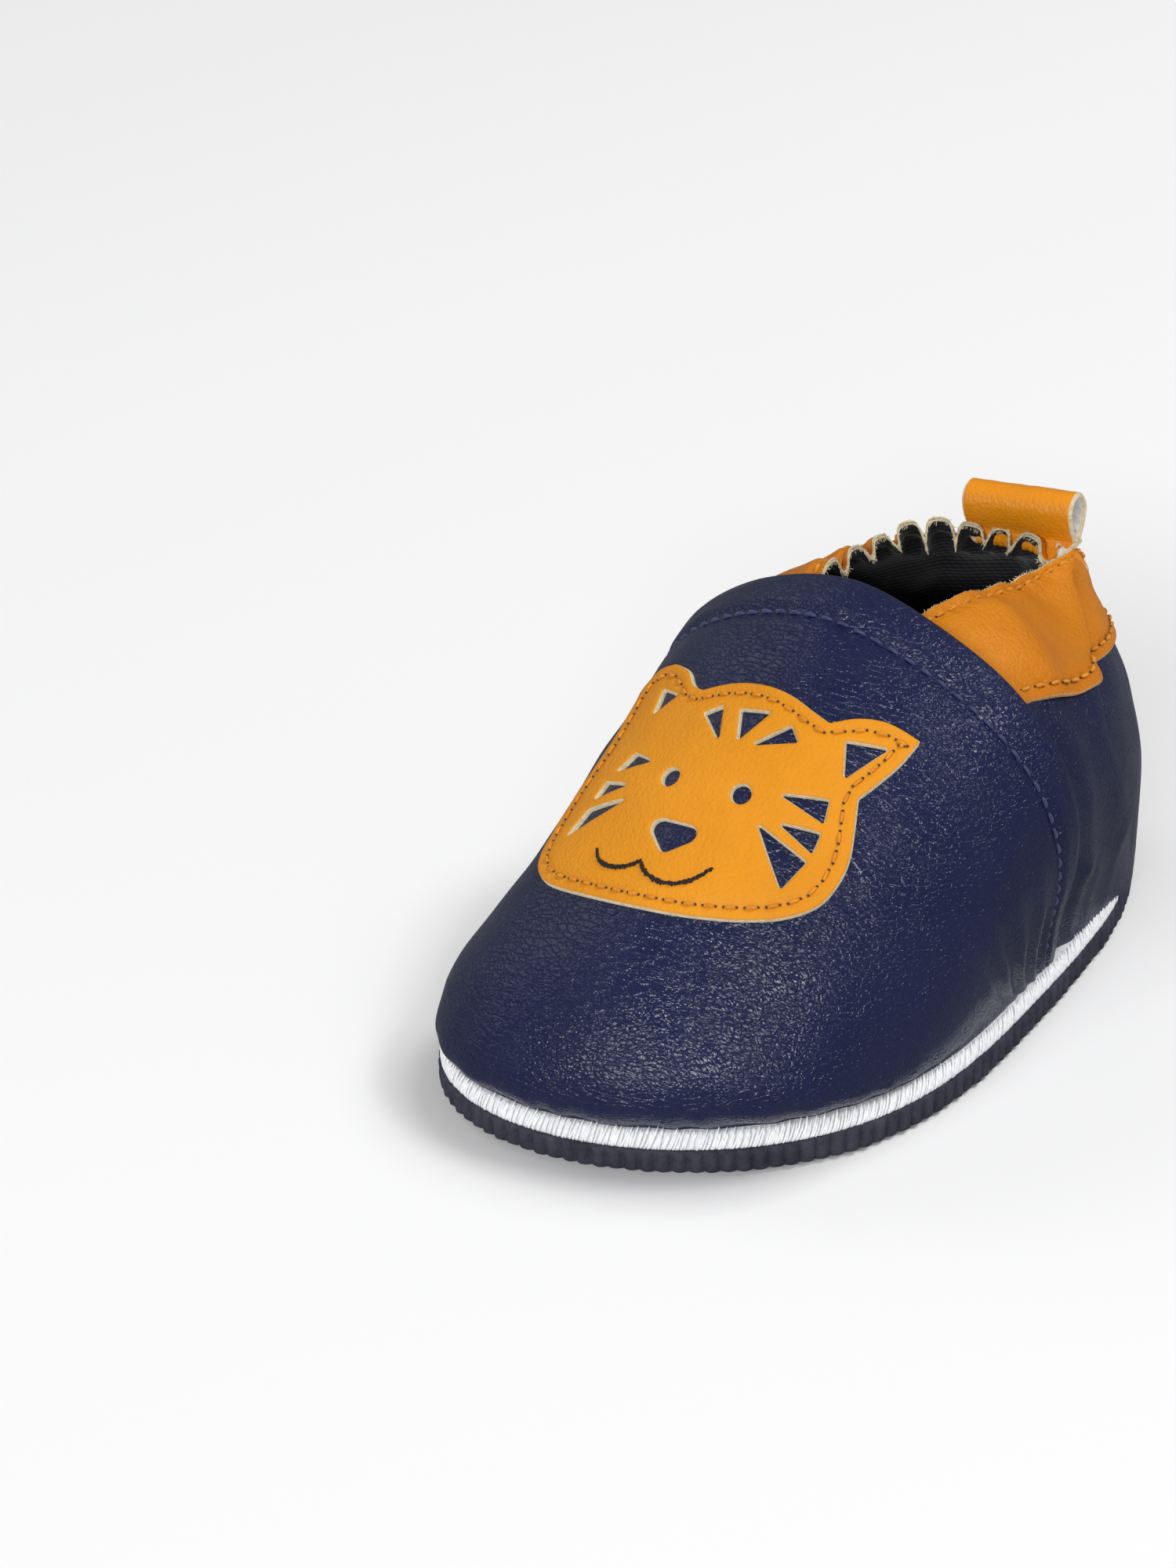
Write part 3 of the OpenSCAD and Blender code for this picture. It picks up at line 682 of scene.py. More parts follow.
def vamp_relief(s, t, p):
    """How far the visible leather stands off the plain surface, in millimetres."""
    seam = (t - THROAT_STITCH_T)*PROFILE_LENGTH
    relief = -0.38*bump(seam, 0, 0.75) + 0.42*smooth(seam, 0.4, 2.0)
    relief = relief - 0.25*smooth((1 - t)*PROFILE_LENGTH, 1.2, 0.0)
    over_foot = p[..., 2] - FOOT_Z
    ring = np.degrees(np.arctan2(p[..., 1], p[..., 0] + 5))
    toe = smooth(-p[..., 1], 5, 45)
    gathers = np.sin(np.radians(ring)*52 + 2.5*noise(p, 9, 4))
    relief = relief + 0.20*toe*gathers*np.exp(-over_foot/3.2) - 0.75*np.exp(-over_foot/1.1)
    relief = relief + 0.42*noise(p, 17, 7) + 0.20*noise(p, 7.5, 8)*smooth(over_foot, 2, 12)
    flank = smooth(np.abs(s), 0.55, 0.85)*smooth(t, 0.62, 0.82)*(1 - smooth(seam, -1.5, 0.5))
    relief = relief + flank*0.42*np.sin(t*95 + 1.5*noise(p, 14, 9))*smooth(30 - over_foot, 0, 22)
    return relief*smooth(over_foot, -0.5, 0.6)


def vamp_surface(cols=281, rows=241):
    t, s = np.meshgrid(np.linspace(0, 1, rows), np.linspace(-1, 1, cols), indexing="ij")
    p = vamp_point(s, t)
    n = normals(p, np.array([0, -12.0, 12.0]))
    return t, p + n*vamp_relief(s, t, p)[..., None], n


VAMP_T, VAMP_GRID, VAMP_NORMAL = vamp_surface()


def on_vamp(s, t):
    """Point and normal on the visible vamp."""
    at = (np.asarray(s) + 1)/2, np.asarray(t)
    return sampled(VAMP_GRID, *at), unit(sampled(VAMP_NORMAL, *at))


def build_vamp():
    thick = LEATHER_T + 0.25*smooth(VAMP_T, 0.95, 0.97)
    inner = VAMP_GRID - VAMP_NORMAL*thick[..., None]
    leather = sheet_piece("vamp_leather", VAMP_GRID, inner, [NAVY, NAVY, NAVY_EDGE])
    fitted(leather, "navy_leather", "vamp")


def build_vamp_lining():
    """Cloth under the vamp that stops short of its rear edge."""
    coarse = slice(None, None, 4)
    keep = VAMP_T[coarse, 0] < 0.985
    grid, n = VAMP_GRID[coarse, coarse][keep], VAMP_NORMAL[coarse, coarse][keep]
    outer, inner = grid - n*VAMP_LINING_DEPTH, grid - n*(VAMP_LINING_DEPTH + LINING_T)
    fitted(sheet_piece("vamp_lining_cloth", outer, inner, [LINING]*3), "lining_fabric", "vamp_lining")


def build_throat_seam():
    """Topstitching beside the vamp's rear edge."""
    fine = np.linspace(-0.985, 0.985, 800)
    path, _ = on_vamp(fine, np.full(len(fine), THROAT_STITCH_T))
    run = run_length(path)
    count = len(resampled(path, STITCH_PITCH*0.92))
    line, ups = on_vamp(np.interp(np.linspace(0, run[-1], count), run, fine), np.full(count, THROAT_STITCH_T))
    seam = stitched("throat_topstitch", line, ups, NAVY_THREAD, radius=0.30, fill=0.72, arch=0.22, sink=-0.02,
                    wander=0.03)
    fitted(seam, "navy_thread", "throat_stitching")


# ---------------------------------------------------------------- quarter, collar and lining
# Places are (c, h), as in back_point
BACK_END = 1.1  # where the back half ends, under the vamp
BACK_MIDDLE = np.array([0, 20.0, 20.0])
GATHERS, PINCH = 7.0, 0.42
LOWER_SEAM = 0.034
SAG = 3.7
FOLD = [(-0.27, 1.02), (-0.40, 0.92), (-0.56, 0.80), (-0.69, 0.70), (-0.77, 0.61), (-0.795, 0.53), (-0.79, 0.44),
        (-0.76, 0.33), (-0.70, 0.20), (-0.60, 0.05)]
CORNER = np.array([5.0, 1.8, -0.4])
# From, to, width and height of each soft fold
SOFT_FOLDS = [((-0.80, 0.90), (-0.86, 0.72), 2.6, 0.7), ((-0.60, 0.90), (-0.70, 0.74), 3.4, -0.7),
              ((0.35, 0.86), (0.42, 0.62), 4, 1.0), ((0.68, 0.85), (0.7, 0.66), 4, 0.7),
              ((0.08, 0.80), (0.05, 0.62), 4, 0.8), ((0.52, 0.8), (0.6, 0.3), 5, 0.6),
              ((-0.925, 0.60), (-0.91, 0.22), 3.0, 1.0)]
# Place and height of each small tuck at the foot
FOOT_TUCKS = [(-0.93, 0.8), (-0.86, 0.5), (-0.76, 0.4), (0.92, 0.8), (0.82, 0.5), (0.6, 0.3), (0.3, 0.3)]


def fold(c, h, path, height, front, rear, valley=0.0, reach=7.0):
    """A fold along a path of (c, h): soft on the vamp's side of its crest, and sharp on the heel's side."""
    scale = np.array([62.0, 58.0])
    p = np.stack([c, h], -1)*scale
    best = np.full(c.shape, 1e9)
    side = np.zeros(c.shape)
    for start, end in zip(path[:-1], path[1:]):
        a, b = np.array(start)*scale, np.array(end)*scale
        along = b - a
        share = np.clip(((p - a) @ along)/(along @ along), 0, 1)
        away = p - (a + share[..., None]*along)
        gap = np.linalg.norm(away, axis=-1)
        nearer = gap < best
        best = np.where(nearer, gap, best)
        side = np.where(nearer, np.sign(along[0]*away[..., 1] - along[1]*away[..., 0]), side)
    before = np.exp(-(best/front)**2)
    after = np.exp(-(best/rear)**2)
    drop = valley*(1 - after)*np.exp(-(best/reach)**2)
    return np.where(side > 0, height*after - drop, height*before)


def ridge(c, h, start, end, width, height):
    """A soft fold along a straight line from start to end, both (c, h)."""
    return fold(c, h, [start, end], height, width, width)


def along_rim_noise(c, place, scale, seed):
    return noise(np.stack([c*GATHERS, 0*c, 0*c + place], -1), scale, seed)


def gather_size(c):
    """Depth of the gathers along the rim: nearly smooth on the outer side, deep elsewhere."""
    deep = mix(0.22, 1.75, smooth(c, -0.34, -0.12))*(1 - 0.5*smooth(np.abs(c), 0.9, 1.0))
    return deep*(1 + 0.50*along_rim_noise(c, 7.7, 1.0, 23))


def gather_phase(c):
    return 2*math.pi*(c*GATHERS + 0.5*along_rim_noise(c, 3.3, 2.1, 21)) + 0.6


def gather_wave(c):
    """Side to side course of the gathered rim: wide round lobes outwards, and narrow valleys between them."""
    phase = gather_phase(c)
    return np.tanh(1.3*(np.sin(phase) + 0.12*np.cos(2*phase)))


def gather_slide(c, h, p):
    """The gathers crowd together along the rim, which rounds the lobes and pinches the valleys."""
    along = unit(np.gradient(p, axis=1))
    return along*(-PINCH*gather_size(c)*np.cos(gather_phase(c))*smooth(h, 0.86, 1.0))[..., None]


def rim_seam(c):
    return mix(collar_low(c), 1.0, 0.92)


def collar_edge(c):
    """The collar's lower edge, pulled down in front of the heel fold."""
    return collar_low(c) - 0.048*smooth(c, -0.98, -0.80)*(1 - smooth(c, -0.76, -0.66))


def lower_seam(c):
    return collar_edge(c) + LOWER_SEAM


def corner_move(c, h):
    """The rim's outer heel corner stands out square beside the pull loop."""
    return CORNER*(bump(c, -0.27, 0.14)*smooth(h, 0.66, 0.98))[..., None]


def rim_relief(c, h, gathered):
    """The rim's gathers and its casing with the seam below: outwards, and upwards."""
    wave, size = gather_wave(c), gather_size(c)*gathered
    out = size*wave*smooth(h, 0.84, 0.995)**1.3
    tall = 0.5 + 0.5*along_rim_noise(c, 1.1, 1.0, 27)
    up = size*(0.05 + 0.55*tall**2)*wave*smooth(h, 0.90, 1.0)
    from_seam = (h - rim_seam(c))*85
    out = out - 0.30*bump(from_seam, 0, 0.7) + 0.12*np.sin(c*190)*bump(from_seam, -0.8, 1.6)
    casing = smooth(h, 0.72, 0.82)*(1 - smooth(from_seam, -2.5, -0.6))
    return out + 0.45*casing*(1 - bump(c, -0.42, 0.16)), up


def sagging(c):
    """Where the outer side hangs down over the band."""
    return smooth(c, -1.02, -0.84)*(1 - smooth(c, -0.36, -0.14))


def foot_relief(c, h, p):
    """Tucks and unevenness, and the leather's foot: drawn in, or out where it hangs over the band."""
    tucks = sum(ridge(c, h, (at, 0.0), (at*0.99, 0.2), 1.6, height) for at, height in FOOT_TUCKS)
    broad = 0.45*noise(p, 15, 31) + 0.20*noise(p, 6, 32)
    over = smooth(c, -1.08, -0.94)*(1 - smooth(c, -0.30, -0.10))
    foot = mix(-0.7, 1.45, over)*np.exp(-(p[..., 2] - FOOT_Z)/mix(1.2, 7.0, over))
    return (tucks + broad)*smooth(h, -0.01, 0.02)*mix(1.0, smooth(h, 0.0, 0.2), sagging(c)) + foot


def back_relief(c, h, p, gathered=True):
    """Folds of the back half: outwards, and upwards for the rim and for the side that sags over the band."""
    out, up = rim_relief(c, h, gathered)
    top = smooth(h, 0.48, 0.68)
    heel_fold = fold(c, h, FOLD, mix(1.2, 1.9, top), 3.7, 0.5, mix(1.5, 3.4, top), 5.5)*smooth(h, 0.06, 0.26)
    puff = 1.2*bump(c, -0.12, 0.11)*bump(h, 0.80, 0.16)
    soft = sum(ridge(c, h, *each) for each in SOFT_FOLDS)
    out = out + heel_fold + puff + soft + foot_relief(c, h, p)
    up = up + 1.2*bump(c, -0.24, 0.11)*smooth(h, 0.75, 1.0) - SAG*sagging(c)*(1 - smooth(h, 0.0, 0.22))
    free = smooth(1 - np.abs(c), 0.0, 0.12)
    return out*free, up*free


def back_surface(cols=701, rows=201):
    """Grid of the back half with its folds: height share 0 to 1, all the way round and under the vamp."""
    h, c = np.meshgrid(np.linspace(0, 1, rows), np.linspace(-BACK_END, BACK_END, cols), indexing="ij")
    p = back_point(c, h)
    n = normals(p, BACK_MIDDLE)
    out, up = back_relief(c, h, p)
    return p + gather_slide(c, h, p) + n*out[..., None] + up[..., None]*[0, 0, 1.0] + corner_move(c, h), n


BACK_GRID, BACK_NORMAL = back_surface()


def on_back(c, h, off=0.0):
    """Point and normal on the folded back half, off millimetres outwards."""
    at = (np.asarray(c, float) + BACK_END)/(2*BACK_END), np.asarray(h, float)
    n = unit(sampled(BACK_NORMAL, *at))
    return sampled(BACK_GRID, *at) + n*np.asarray(off, float)[..., None], n


def collar_off(c):
    return COLLAR_LIFT*lift_ramp(c)*(1 - 0.35*bump(c, -0.6, 0.2))


def build_quarter(c):
    top = collar_low(c) - 0.004 + 0.034*smooth(1 - np.abs(c), 0.16, 0.24)
    h = np.linspace(0, 1, 90)[:, None]*top
    outer, n = on_back(c + 0*h, h)
    leather = sheet_piece("quarter_leather", outer, outer - n*LEATHER_T, [NAVY, NAVY_EDGE, NAVY_EDGE])
    fitted(leather, "navy_leather", "quarter")


def build_collar(c):
    """Mustard leather from below its lower seam to the rim, where it thins."""
    h = mix(collar_edge(c) + 0.004, 1.0, np.linspace(0, 1, 110)[:, None])
    c = c + 0*h
    from_edge = (h - collar_edge(c))*60
    groove = -0.28*bump(from_edge, LOWER_SEAM*60, 0.7)
    swell = 0.25*smooth(from_edge, 2.4, 6.0)
    outer, n = on_back(c, h, collar_off(c) + (groove + swell)*lift_ramp(c))
    inner = outer - n*mix(LEATHER_T - 0.05, 0.38, smooth(h, 0.9, 1.0))[..., None]
    collar = sheet_piece("collar_leather", outer, inner, [MUSTARD, CREAM, CREAM, TAN_EDGE])
    fitted(collar, "mustard_leather", "collar")


def build_back_lining(c):
    h = np.linspace(0, 0.997, 110)[:, None] + 0*c
    c = c + 0*h
    depth = mix(-1.05, -0.45, smooth(h, 0.9, 1.0))
    outer, n = on_back(c, h, depth + collar_off(c)*smooth(h, 0.85, 1.0))
    lining = sheet_piece("back_lining_cloth", outer, outer - n*LINING_T, [LINING]*3)
    fitted(lining, "lining_fabric", "quarter_lining")


def build_elastic():
    """Woven elastic inside the casing, gathered with the collar."""
    h, c = np.meshgrid(np.linspace(0.88, 0.945, 12), np.linspace(-0.85, 0.85, 300), indexing="ij")
    outer, n = on_back(c, h, collar_off(c) - mix(0.88, 0.60, smooth(h, 0.9, 1.0)))
    elastic = sheet_piece("gathered_elastic", outer, outer - n*0.28, [ELASTIC]*3)
    fitted(elastic, "elastic", "collar_elastic")


def build_rim(c):
    """Frayed, pale edge where the collar's backing shows between leather and lining."""
    c = c[np.abs(c) < 1.03]
    line = on_back(c, np.ones(len(c)), collar_off(c) - 0.40)[0] + [0, 0, 0.05]
    radius = 0.19 + 0.07*noise(line, 0.7, 41) + 0.04*noise(line, 2.6, 42)
    fitted(tube("collar_frayed_edge", line, radius, CREAM), "elastic")

    rng = np.random.default_rng(5)
    top = np.ones(1500)
    at = rng.uniform(-1.02, 1.02, len(top))
    root, n = on_back(at, top, collar_off(at) - 0.45)
    along = unit(on_back(at + 0.004, top)[0] - root)
    spread = n*rng.normal(0, 0.9, (len(top), 1)) + along*rng.normal(0, 0.8, (len(top), 1))
    aim = unit(spread + [0, 0, 0.55])
    tips = root + aim*rng.uniform(0.35, 0.95, (len(top), 1))
    hairs = threads("collar_edge_fibres", root + aim*0.2, tips, n, radius=0.055, arch=0.05, material=CREAM,
                    steps=4, around=4)
    fitted(hairs, "elastic")


def seam_line(height):
    """Stitch places and normals all round the collar, at the height share that height gives."""
    fine = np.linspace(-0.995, 0.995, 2400)
    run = run_length(on_back(fine, height(fine), collar_off(fine))[0])
    at = np.interp(np.linspace(0, run[-1], int(round(run[-1]/STITCH_PITCH)) + 1), run, fine)
    return on_back(at, height(at), collar_off(at))


def build_back_seams():
    for place, height, sink in (("rim", rim_seam, -0.12), ("lower", lower_seam, 0.12)):
        name = f"collar_{place}_topstitch"
        line, ups = seam_line(height)
        seam = stitched(name, line, ups, MUSTARD_THREAD, radius=0.31, fill=0.66, arch=0.30, sink=sink, wander=0.10)
        fitted(seam, "mustard_thread", f"collar_{place}_stitching")
        fitted(needle_holes(name + "_holes", line - ups*(sink + 0.06), ups, 0.26), "mustard_thread")


# ---------------------------------------------------------------- pull loop
STRAP_ROWS, STRAP_COLS = 181, 61
STRAP_OFF = COLLAR_LIFT + 0.9
STRAP_OUTSIDE = [(0.80, 0), (0.84, 0.2), (0.88, 0.6), (0.92, 1.2), (0.955, 1.7)]  # height share, and clear of the seam
LOOP_FOOT = [(0.62, -0.2), (0.75, 0.7), (1.9, 2.6)]


def loop_frame():
    roll, yaw = (math.radians(a) for a in LOOP_TURN)
    x = np.array([math.cos(roll)*math.cos(yaw), math.cos(roll)*math.sin(yaw), math.sin(roll)])
    y = np.array([-math.sin(yaw), math.cos(yaw), 0])
    z = np.cross(x, y)
    lean = math.radians(LOOP_LEAN)
    return x, y*math.cos(lean) - z*math.sin(lean), y*math.sin(lean) + z*math.cos(lean)


def catmull_rom(a, b, c, d, f):
    """Between b and c on the smooth line through four points."""
    return 0.5*(2*b + (c - a)*f + (2*a - 5*b + 4*c - d)*f**2 + (3*b - a - 3*c + d)*f**3)


def smooth_rows(rows, count):
    """A smooth surface through rows of points."""
    rows = np.array([2*rows[0] - rows[1], *rows, 2*rows[-1] - rows[-2]])
    u = np.linspace(1, len(rows) - 2, count)
    k = np.minimum(u.astype(int), len(rows) - 3)
    return catmull_rom(rows[k - 1], rows[k], rows[k + 1], rows[k + 2], (u - k)[:, None, None])


def on_back_plain(c, h, off):
    """The back half without its gathers, off millimetres outwards."""
    p = back_point(c, h)
    out, _ = back_relief(c, h, p, gathered=False)
    e = 0.004
    n = unit(np.cross(back_point(c + e, h) - back_point(c - e, h), back_point(c, h + e) - back_point(c, h - e)))
    n = n*np.where((n*(p - BACK_MIDDLE)).sum(-1) < 0, -1, 1)[..., None]
    return p + n*(off + out)[..., None] + corner_move(c, h)*[0.4, 1.0, 0.0]


def strap_tail(h, off):
    """One row across the strap where it lies along the collar, off millimetres outwards."""
    span = on_back(np.array([0.1]), np.array([h]))[0] - on_back(np.array([-0.1]), np.array([h]))[0]
    per_mm = 0.2/np.linalg.norm(span)
    c = -LOOP_ROOT[0]*per_mm - np.linspace(-1, 1, STRAP_COLS)*LOOP_W/2*per_mm
    return on_back_plain(c, np.full(c.shape, h), np.full(c.shape, off))


def loop_rows():
    """Rows across the strap where it stands up as a loop, from its outer root to its inner root."""
    x, y, z = loop_frame()
    arc_r, arc_z = LOOP_CROWN - 0.55, LOOP_H - LOOP_CROWN
    arc = [(arc_r*cosd(a), arc_z + arc_r*sind(a)) for a in range(-10, 191, 25)]
    section = LOOP_FOOT + arc + [(-a, b) for a, b in LOOP_FOOT[::-1]]
    across = LOOP_W/2*np.linspace(-1, 1, STRAP_COLS)[:, None]*x
    return [LOOP_ROOT + across + a*y + b*z for a, b in section]


def build_loop():
    """One strap: down the collar's outside, up round the loop and in behind the collar's rim."""
    outer = [strap_tail(h, STRAP_OFF + clear) for h, clear in STRAP_OUTSIDE]
    inner = [strap_tail(h, 0.42) for h in (0.955, 0.90, 0.85)]
    grid = smooth_rows(outer + loop_rows() + inner, STRAP_ROWS)
    n = unit(np.cross(np.gradient(grid, axis=0), np.gradient(grid, axis=1)))
    crown = int(STRAP_ROWS*0.55)
    if (n[crown]*(grid[crown] - LOOP_ROOT)).sum() < 0:
        n = -n
    soft = 0.10*noise(grid, 4.0, 51) + 0.05*noise(grid, 1.5, 52)
    face, back = grid + n*(0.50 + soft)[..., None], grid - n*0.45
    strap = sheet_piece("pull_loop_strap", face, back, [STRAP, CREAM, STRAP_BACK])
    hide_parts("pull_loop", "pull_loop_tails")
    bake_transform(strap)


def build_box_stitch():
    """Stitching in a rectangle through the strap's outer end."""
    starts, ends, ups = [], [], []

    def run_between(a, b):
        (p0, n0), (p1, n1) = a, b
        up = unit(mix(n0, n1, 0.5))
        line = resampled(np.array([p0, mix(p0, p1, 0.5) + 0.15*mix(n0, n1, 0.5), p1]), 1.9)
        for p, q in zip(line[:-1], line[1:]):
            starts.append(p + up*0.62)
            ends.append(mix(p, q, 0.72) + up*0.62)
            ups.append(up)

    sides = []
    for h, off in ((0.815, STRAP_OFF), (0.915, COLLAR_LIFT + 2.0)):
        row = strap_tail(h, off)
        sides.append(list(zip(row, unit(row - np.array([0, 20.0, 40.0])))))
    low, high = sides
    left, right, skip = 7, 53, 6
    for k in range(left, right, skip):
        run_between(low[k], low[min(k + skip, right)])
        run_between(high[k], high[min(k + skip, right)])
    for k in (left, right):
        run_between(low[k], high[k])
    seam = threads("pull_loop_box_stitch", starts, ends, ups, radius=0.28, arch=0.18, material=MUSTARD_THREAD)
    fitted(seam, "mustard_thread", "loop_box_stitch")


# ---------------------------------------------------------------- face patch
FACE = [(-23.6, 14.5), (-23.9, 18.6), (-21.5, 21.9), (-17.6, 22.6), (-13.8, 21.2), (-10.8, 18.6), (-8.2, 17.9),
        (-4.8, 19.1), (-0.8, 19.9), (3.5, 20), (7.4, 19.4), (11, 18.2), (14.2, 17.2), (17.6, 19.4), (21.4, 20.4),
        (25.8, 19.8), (24.9, 15.6), (23.3, 11.6), (21.8, 8.4), (23, 4), (23.8, -0.3), (23.6, -4.2), (22.4, -8),
        (19.2, -11.4), (14.6, -13.8), (9, -15.6), (3, -16.8), (-3.5, -17.3), (-11.5, -17.2), (-18.6, -16.4),
        (-22.6, -14.2), (-24.6, -10.8), (-25.3, -5.4), (-24.9, 0), (-23.8, 5), (-23.4, 10)]
FACE_CORNERS, CUT_R = (1, 3, 6, 12, 15, 18), 0.32
CUTS = [[(-17, 17.8), (-13.4, 16.8), (-16.2, 13.8)], [(-5.2, 14), (-2.9, 15.4), (-0.8, 10.5)],
        [(0.8, 15.4), (5.2, 15.9), (2.7, 11)], [(9.3, 14.8), (10.9, 13.1), (5.6, 10.9)],
        [(17.6, 15.4), (22.5, 16.6), (19.2, 10.8)], [(12.7, 4.9), (18.4, 6.4), (18.9, 3.4)],
        [(14.2, 0.8), (19.1, 1.5), (19.1, -1.2)], [(11.3, -0.6), (18.8, -3), (17.3, -7.6)],
        [(-11.3, 5.3), (-15, 6.2), (-16.8, 3.4)], [(-13.6, 0.9), (-17.9, 1.1), (-18.5, -1.5)],
        [(-12.4, -1.7), (-18.5, -3.7), (-20, -8)]]
EYES, EYE_R = [(-5.6, 3.1), (6.8, 3.1)], 1.6
NOSE, NOSE_R = [(-3.1, -4.9), (1.7, -4.9), (-0.8, -6.9)], 1.5
MOUTH = [(-12, -10.2), (-10.6, -11.8), (-8.2, -12.4), (-5.6, -11.9), (-3.4, -10.6), (-2, -11.9), (0.6, -12.8),
         (3.4, -12.4), (5.8, -10.9), (7.5, -8.8)]
MOUTH_CORNERS = (0, 4, 9, 14)


def curved(points, per=6, corner=()):
    """A closed smooth line through points; the numbered ones stay sharp."""
    p = np.array(points, float)
    n = len(p)
    out = []
    for k in range(n):
        a, b, c, d = (p[(k + step) % n] for step in (-1, 0, 1, 2))
        a = b if k in corner else a
        d = c if (k + 1) % n in corner else d
        for f in np.arange(per)/per:
            out.append(catmull_rom(a, b, c, d, f))
    return np.array(out)


def rounded(corners, r, per=5):
    """Outline of a shape with round corners, anticlockwise."""
    p = anticlockwise(np.array(corners, float))
    out = []
    for k in range(len(p)):
        here = p[k]
        d0, d1 = unit(here - p[k - 1]), unit(p[(k + 1) % len(p)] - here)
        a0, a1 = math.atan2(-d0[0], d0[1]), math.atan2(-d1[0], d1[1])
        while a1 < a0:
            a1 += 2*math.pi
        out += [here + r*np.array([math.cos(a), math.sin(a)]) for a in np.linspace(a0, a1, per)]
    return np.array(out)


def circle(centre, r, count=28):
    a = np.linspace(0, 2*math.pi, count, endpoint=False)
    return np.array(centre) + r*np.stack([np.cos(a), np.sin(a)], 1)


def inside(points, loop):
    """Which points lie inside a closed loop."""
    x, y = points[:, 0][:, None], points[:, 1][:, None]
    a, b = loop, np.roll(loop, -1, 0)
    crosses = (a[:, 1] > y) != (b[:, 1] > y)
    at = a[:, 0] + (y - a[:, 1])/np.where(b[:, 1] == a[:, 1], 1e-12, b[:, 1] - a[:, 1])*(b[:, 0] - a[:, 0])
    return (crosses & (x < at)).sum(1) % 2 == 1


def clear_of(points, rim, holes):
    """Which flat points lie inside the rim and outside every hole."""
    return inside(points, rim) & ~np.any([inside(points, hole) for hole in holes], axis=0)


def triangulated(loops, loose=()):
    """Triangles over flat closed loops and loose points: their vertices, then the faces."""
    flat, edges = [], []
    for loop in loops:
        first = len(flat)
        flat += [Vector(p) for p in loop]
        edges += [(first + k, first + (k + 1) % len(loop)) for k in range(len(loop))]
    flat += [Vector(p) for p in loose]
    verts, _, faces, _, _, _ = delaunay_2d_cdt(flat, edges, [], 0, 1e-6)
    return np.array([tuple(p) for p in verts]), np.array([f for f in faces if len(f) == 3])


def edge_gap(points, loops):
    """Distance from each point to the nearest loop."""
    best = np.full(len(points), 1e9)
    for loop in loops:
        a, b = loop, np.roll(loop, -1, 0)
        d = b - a
        share = np.clip(((points[:, None] - a)*d).sum(-1)/np.maximum((d*d).sum(-1), 1e-12), 0, 1)
        gap = np.linalg.norm(points[:, None] - (a + share[..., None]*d), axis=-1).min(1)
        best = np.minimum(best, gap)
    return best


def patch_axes():
    tilt, turn, roll = (math.radians(a) for a in (PATCH_TILT, PATCH_TURN, PATCH_ROLL))

    def about_z(a):
        return np.array([[math.cos(a), -math.sin(a), 0], [math.sin(a), math.cos(a), 0], [0, 0, 1]])
    about_x = np.array([[1, 0, 0], [0, math.cos(tilt), -math.sin(tilt)], [0, math.sin(tilt), math.cos(tilt)]])
    m = about_z(turn) @ about_x @ about_z(roll)
    return m[:, 0], m[:, 1], m[:, 2]


def vamp_tree():
    rows, cols = VAMP_GRID.shape[:2]
    points = [Vector(p) for p in VAMP_GRID.reshape(-1, 3)]
    return BVHTree.FromPolygons(points, grid_faces(rows, cols).tolist())


def drop_on_vamp(flat, tree):
    """Pushes flat patch points straight down on to the vamp: points and the leather's normals there."""
    ex, ey, ez = patch_axes()
    points, ups = [], []
    for x, y in flat:
        start = PATCH_CENTRE + x*ex + y*ey + 12*ez
        hit, normal, _, _ = tree.ray_cast(Vector(start), Vector(-ez))
        if hit is None:
            hit, normal, _, _ = tree.find_nearest(Vector(start - 12*ez))
        normal = np.array(normal)
        points.append(np.array(hit))
        ups.append(normal if normal @ ez > 0 else -normal)
    return np.array(points), unit(np.array(ups))


def anticlockwise(loop):
    x, y = loop[:, 0], loop[:, 1]
    area = 0.5*(x*np.roll(y, -1) - np.roll(x, -1)*y).sum()
    return loop if area > 0 else loop[::-1]


def patch_loops():
    """The patch's outline and its cut-outs."""
    def even(loop, step):
        return anticlockwise(resampled(loop, step, closed=True)[:-1])
    rim = even(curved(FACE, corner=FACE_CORNERS), 0.55)
    holes = [even(rounded(cut, CUT_R), 0.4) for cut in CUTS] + [circle(eye, EYE_R) for eye in EYES]
    return rim, holes + [even(rounded(NOSE, NOSE_R, 9), 0.4)]


def inset(loop, amount):
    """An anticlockwise loop drawn inwards."""
    along = unit(np.roll(loop, -1, 0) - np.roll(loop, 1, 0))
    return loop + np.stack([-along[:, 1], along[:, 0]], 1)*amount


def flat_patch(rim, holes):
    """The patch laid flat: its points, and triangles that face up."""
    near_edge = [inset(rim, 0.22)] + [inset(hole, -0.22) for hole in holes]
    grid = np.stack(np.meshgrid(np.arange(-26, 27, 0.62), np.arange(-18, 24, 0.62)), -1).reshape(-1, 2)
    level = np.c_[grid, 0*grid[:, :1]]
    grid = grid + 0.12*np.stack([noise(level, 1.1, 61), noise(level, 1.1, 62)], 1)
    grid = grid[clear_of(grid, rim, holes)]
    grid = grid[edge_gap(grid, [rim] + holes) > 0.5]
    verts, faces = triangulated([rim] + holes + near_edge, grid)
    faces = faces[clear_of(verts[faces].mean(1), rim, holes)]
    used, faces = np.unique(faces, return_inverse=True)
    verts, faces = verts[used], faces.reshape(-1, 3)
    (ax, ay), (bx, by) = (verts[faces[:, 1]] - verts[faces[:, 0]]).T, (verts[faces[:, 2]] - verts[faces[:, 0]]).T
    down = ax*by - ay*bx < 0
    faces[down] = faces[down][:, ::-1]
    return verts, faces


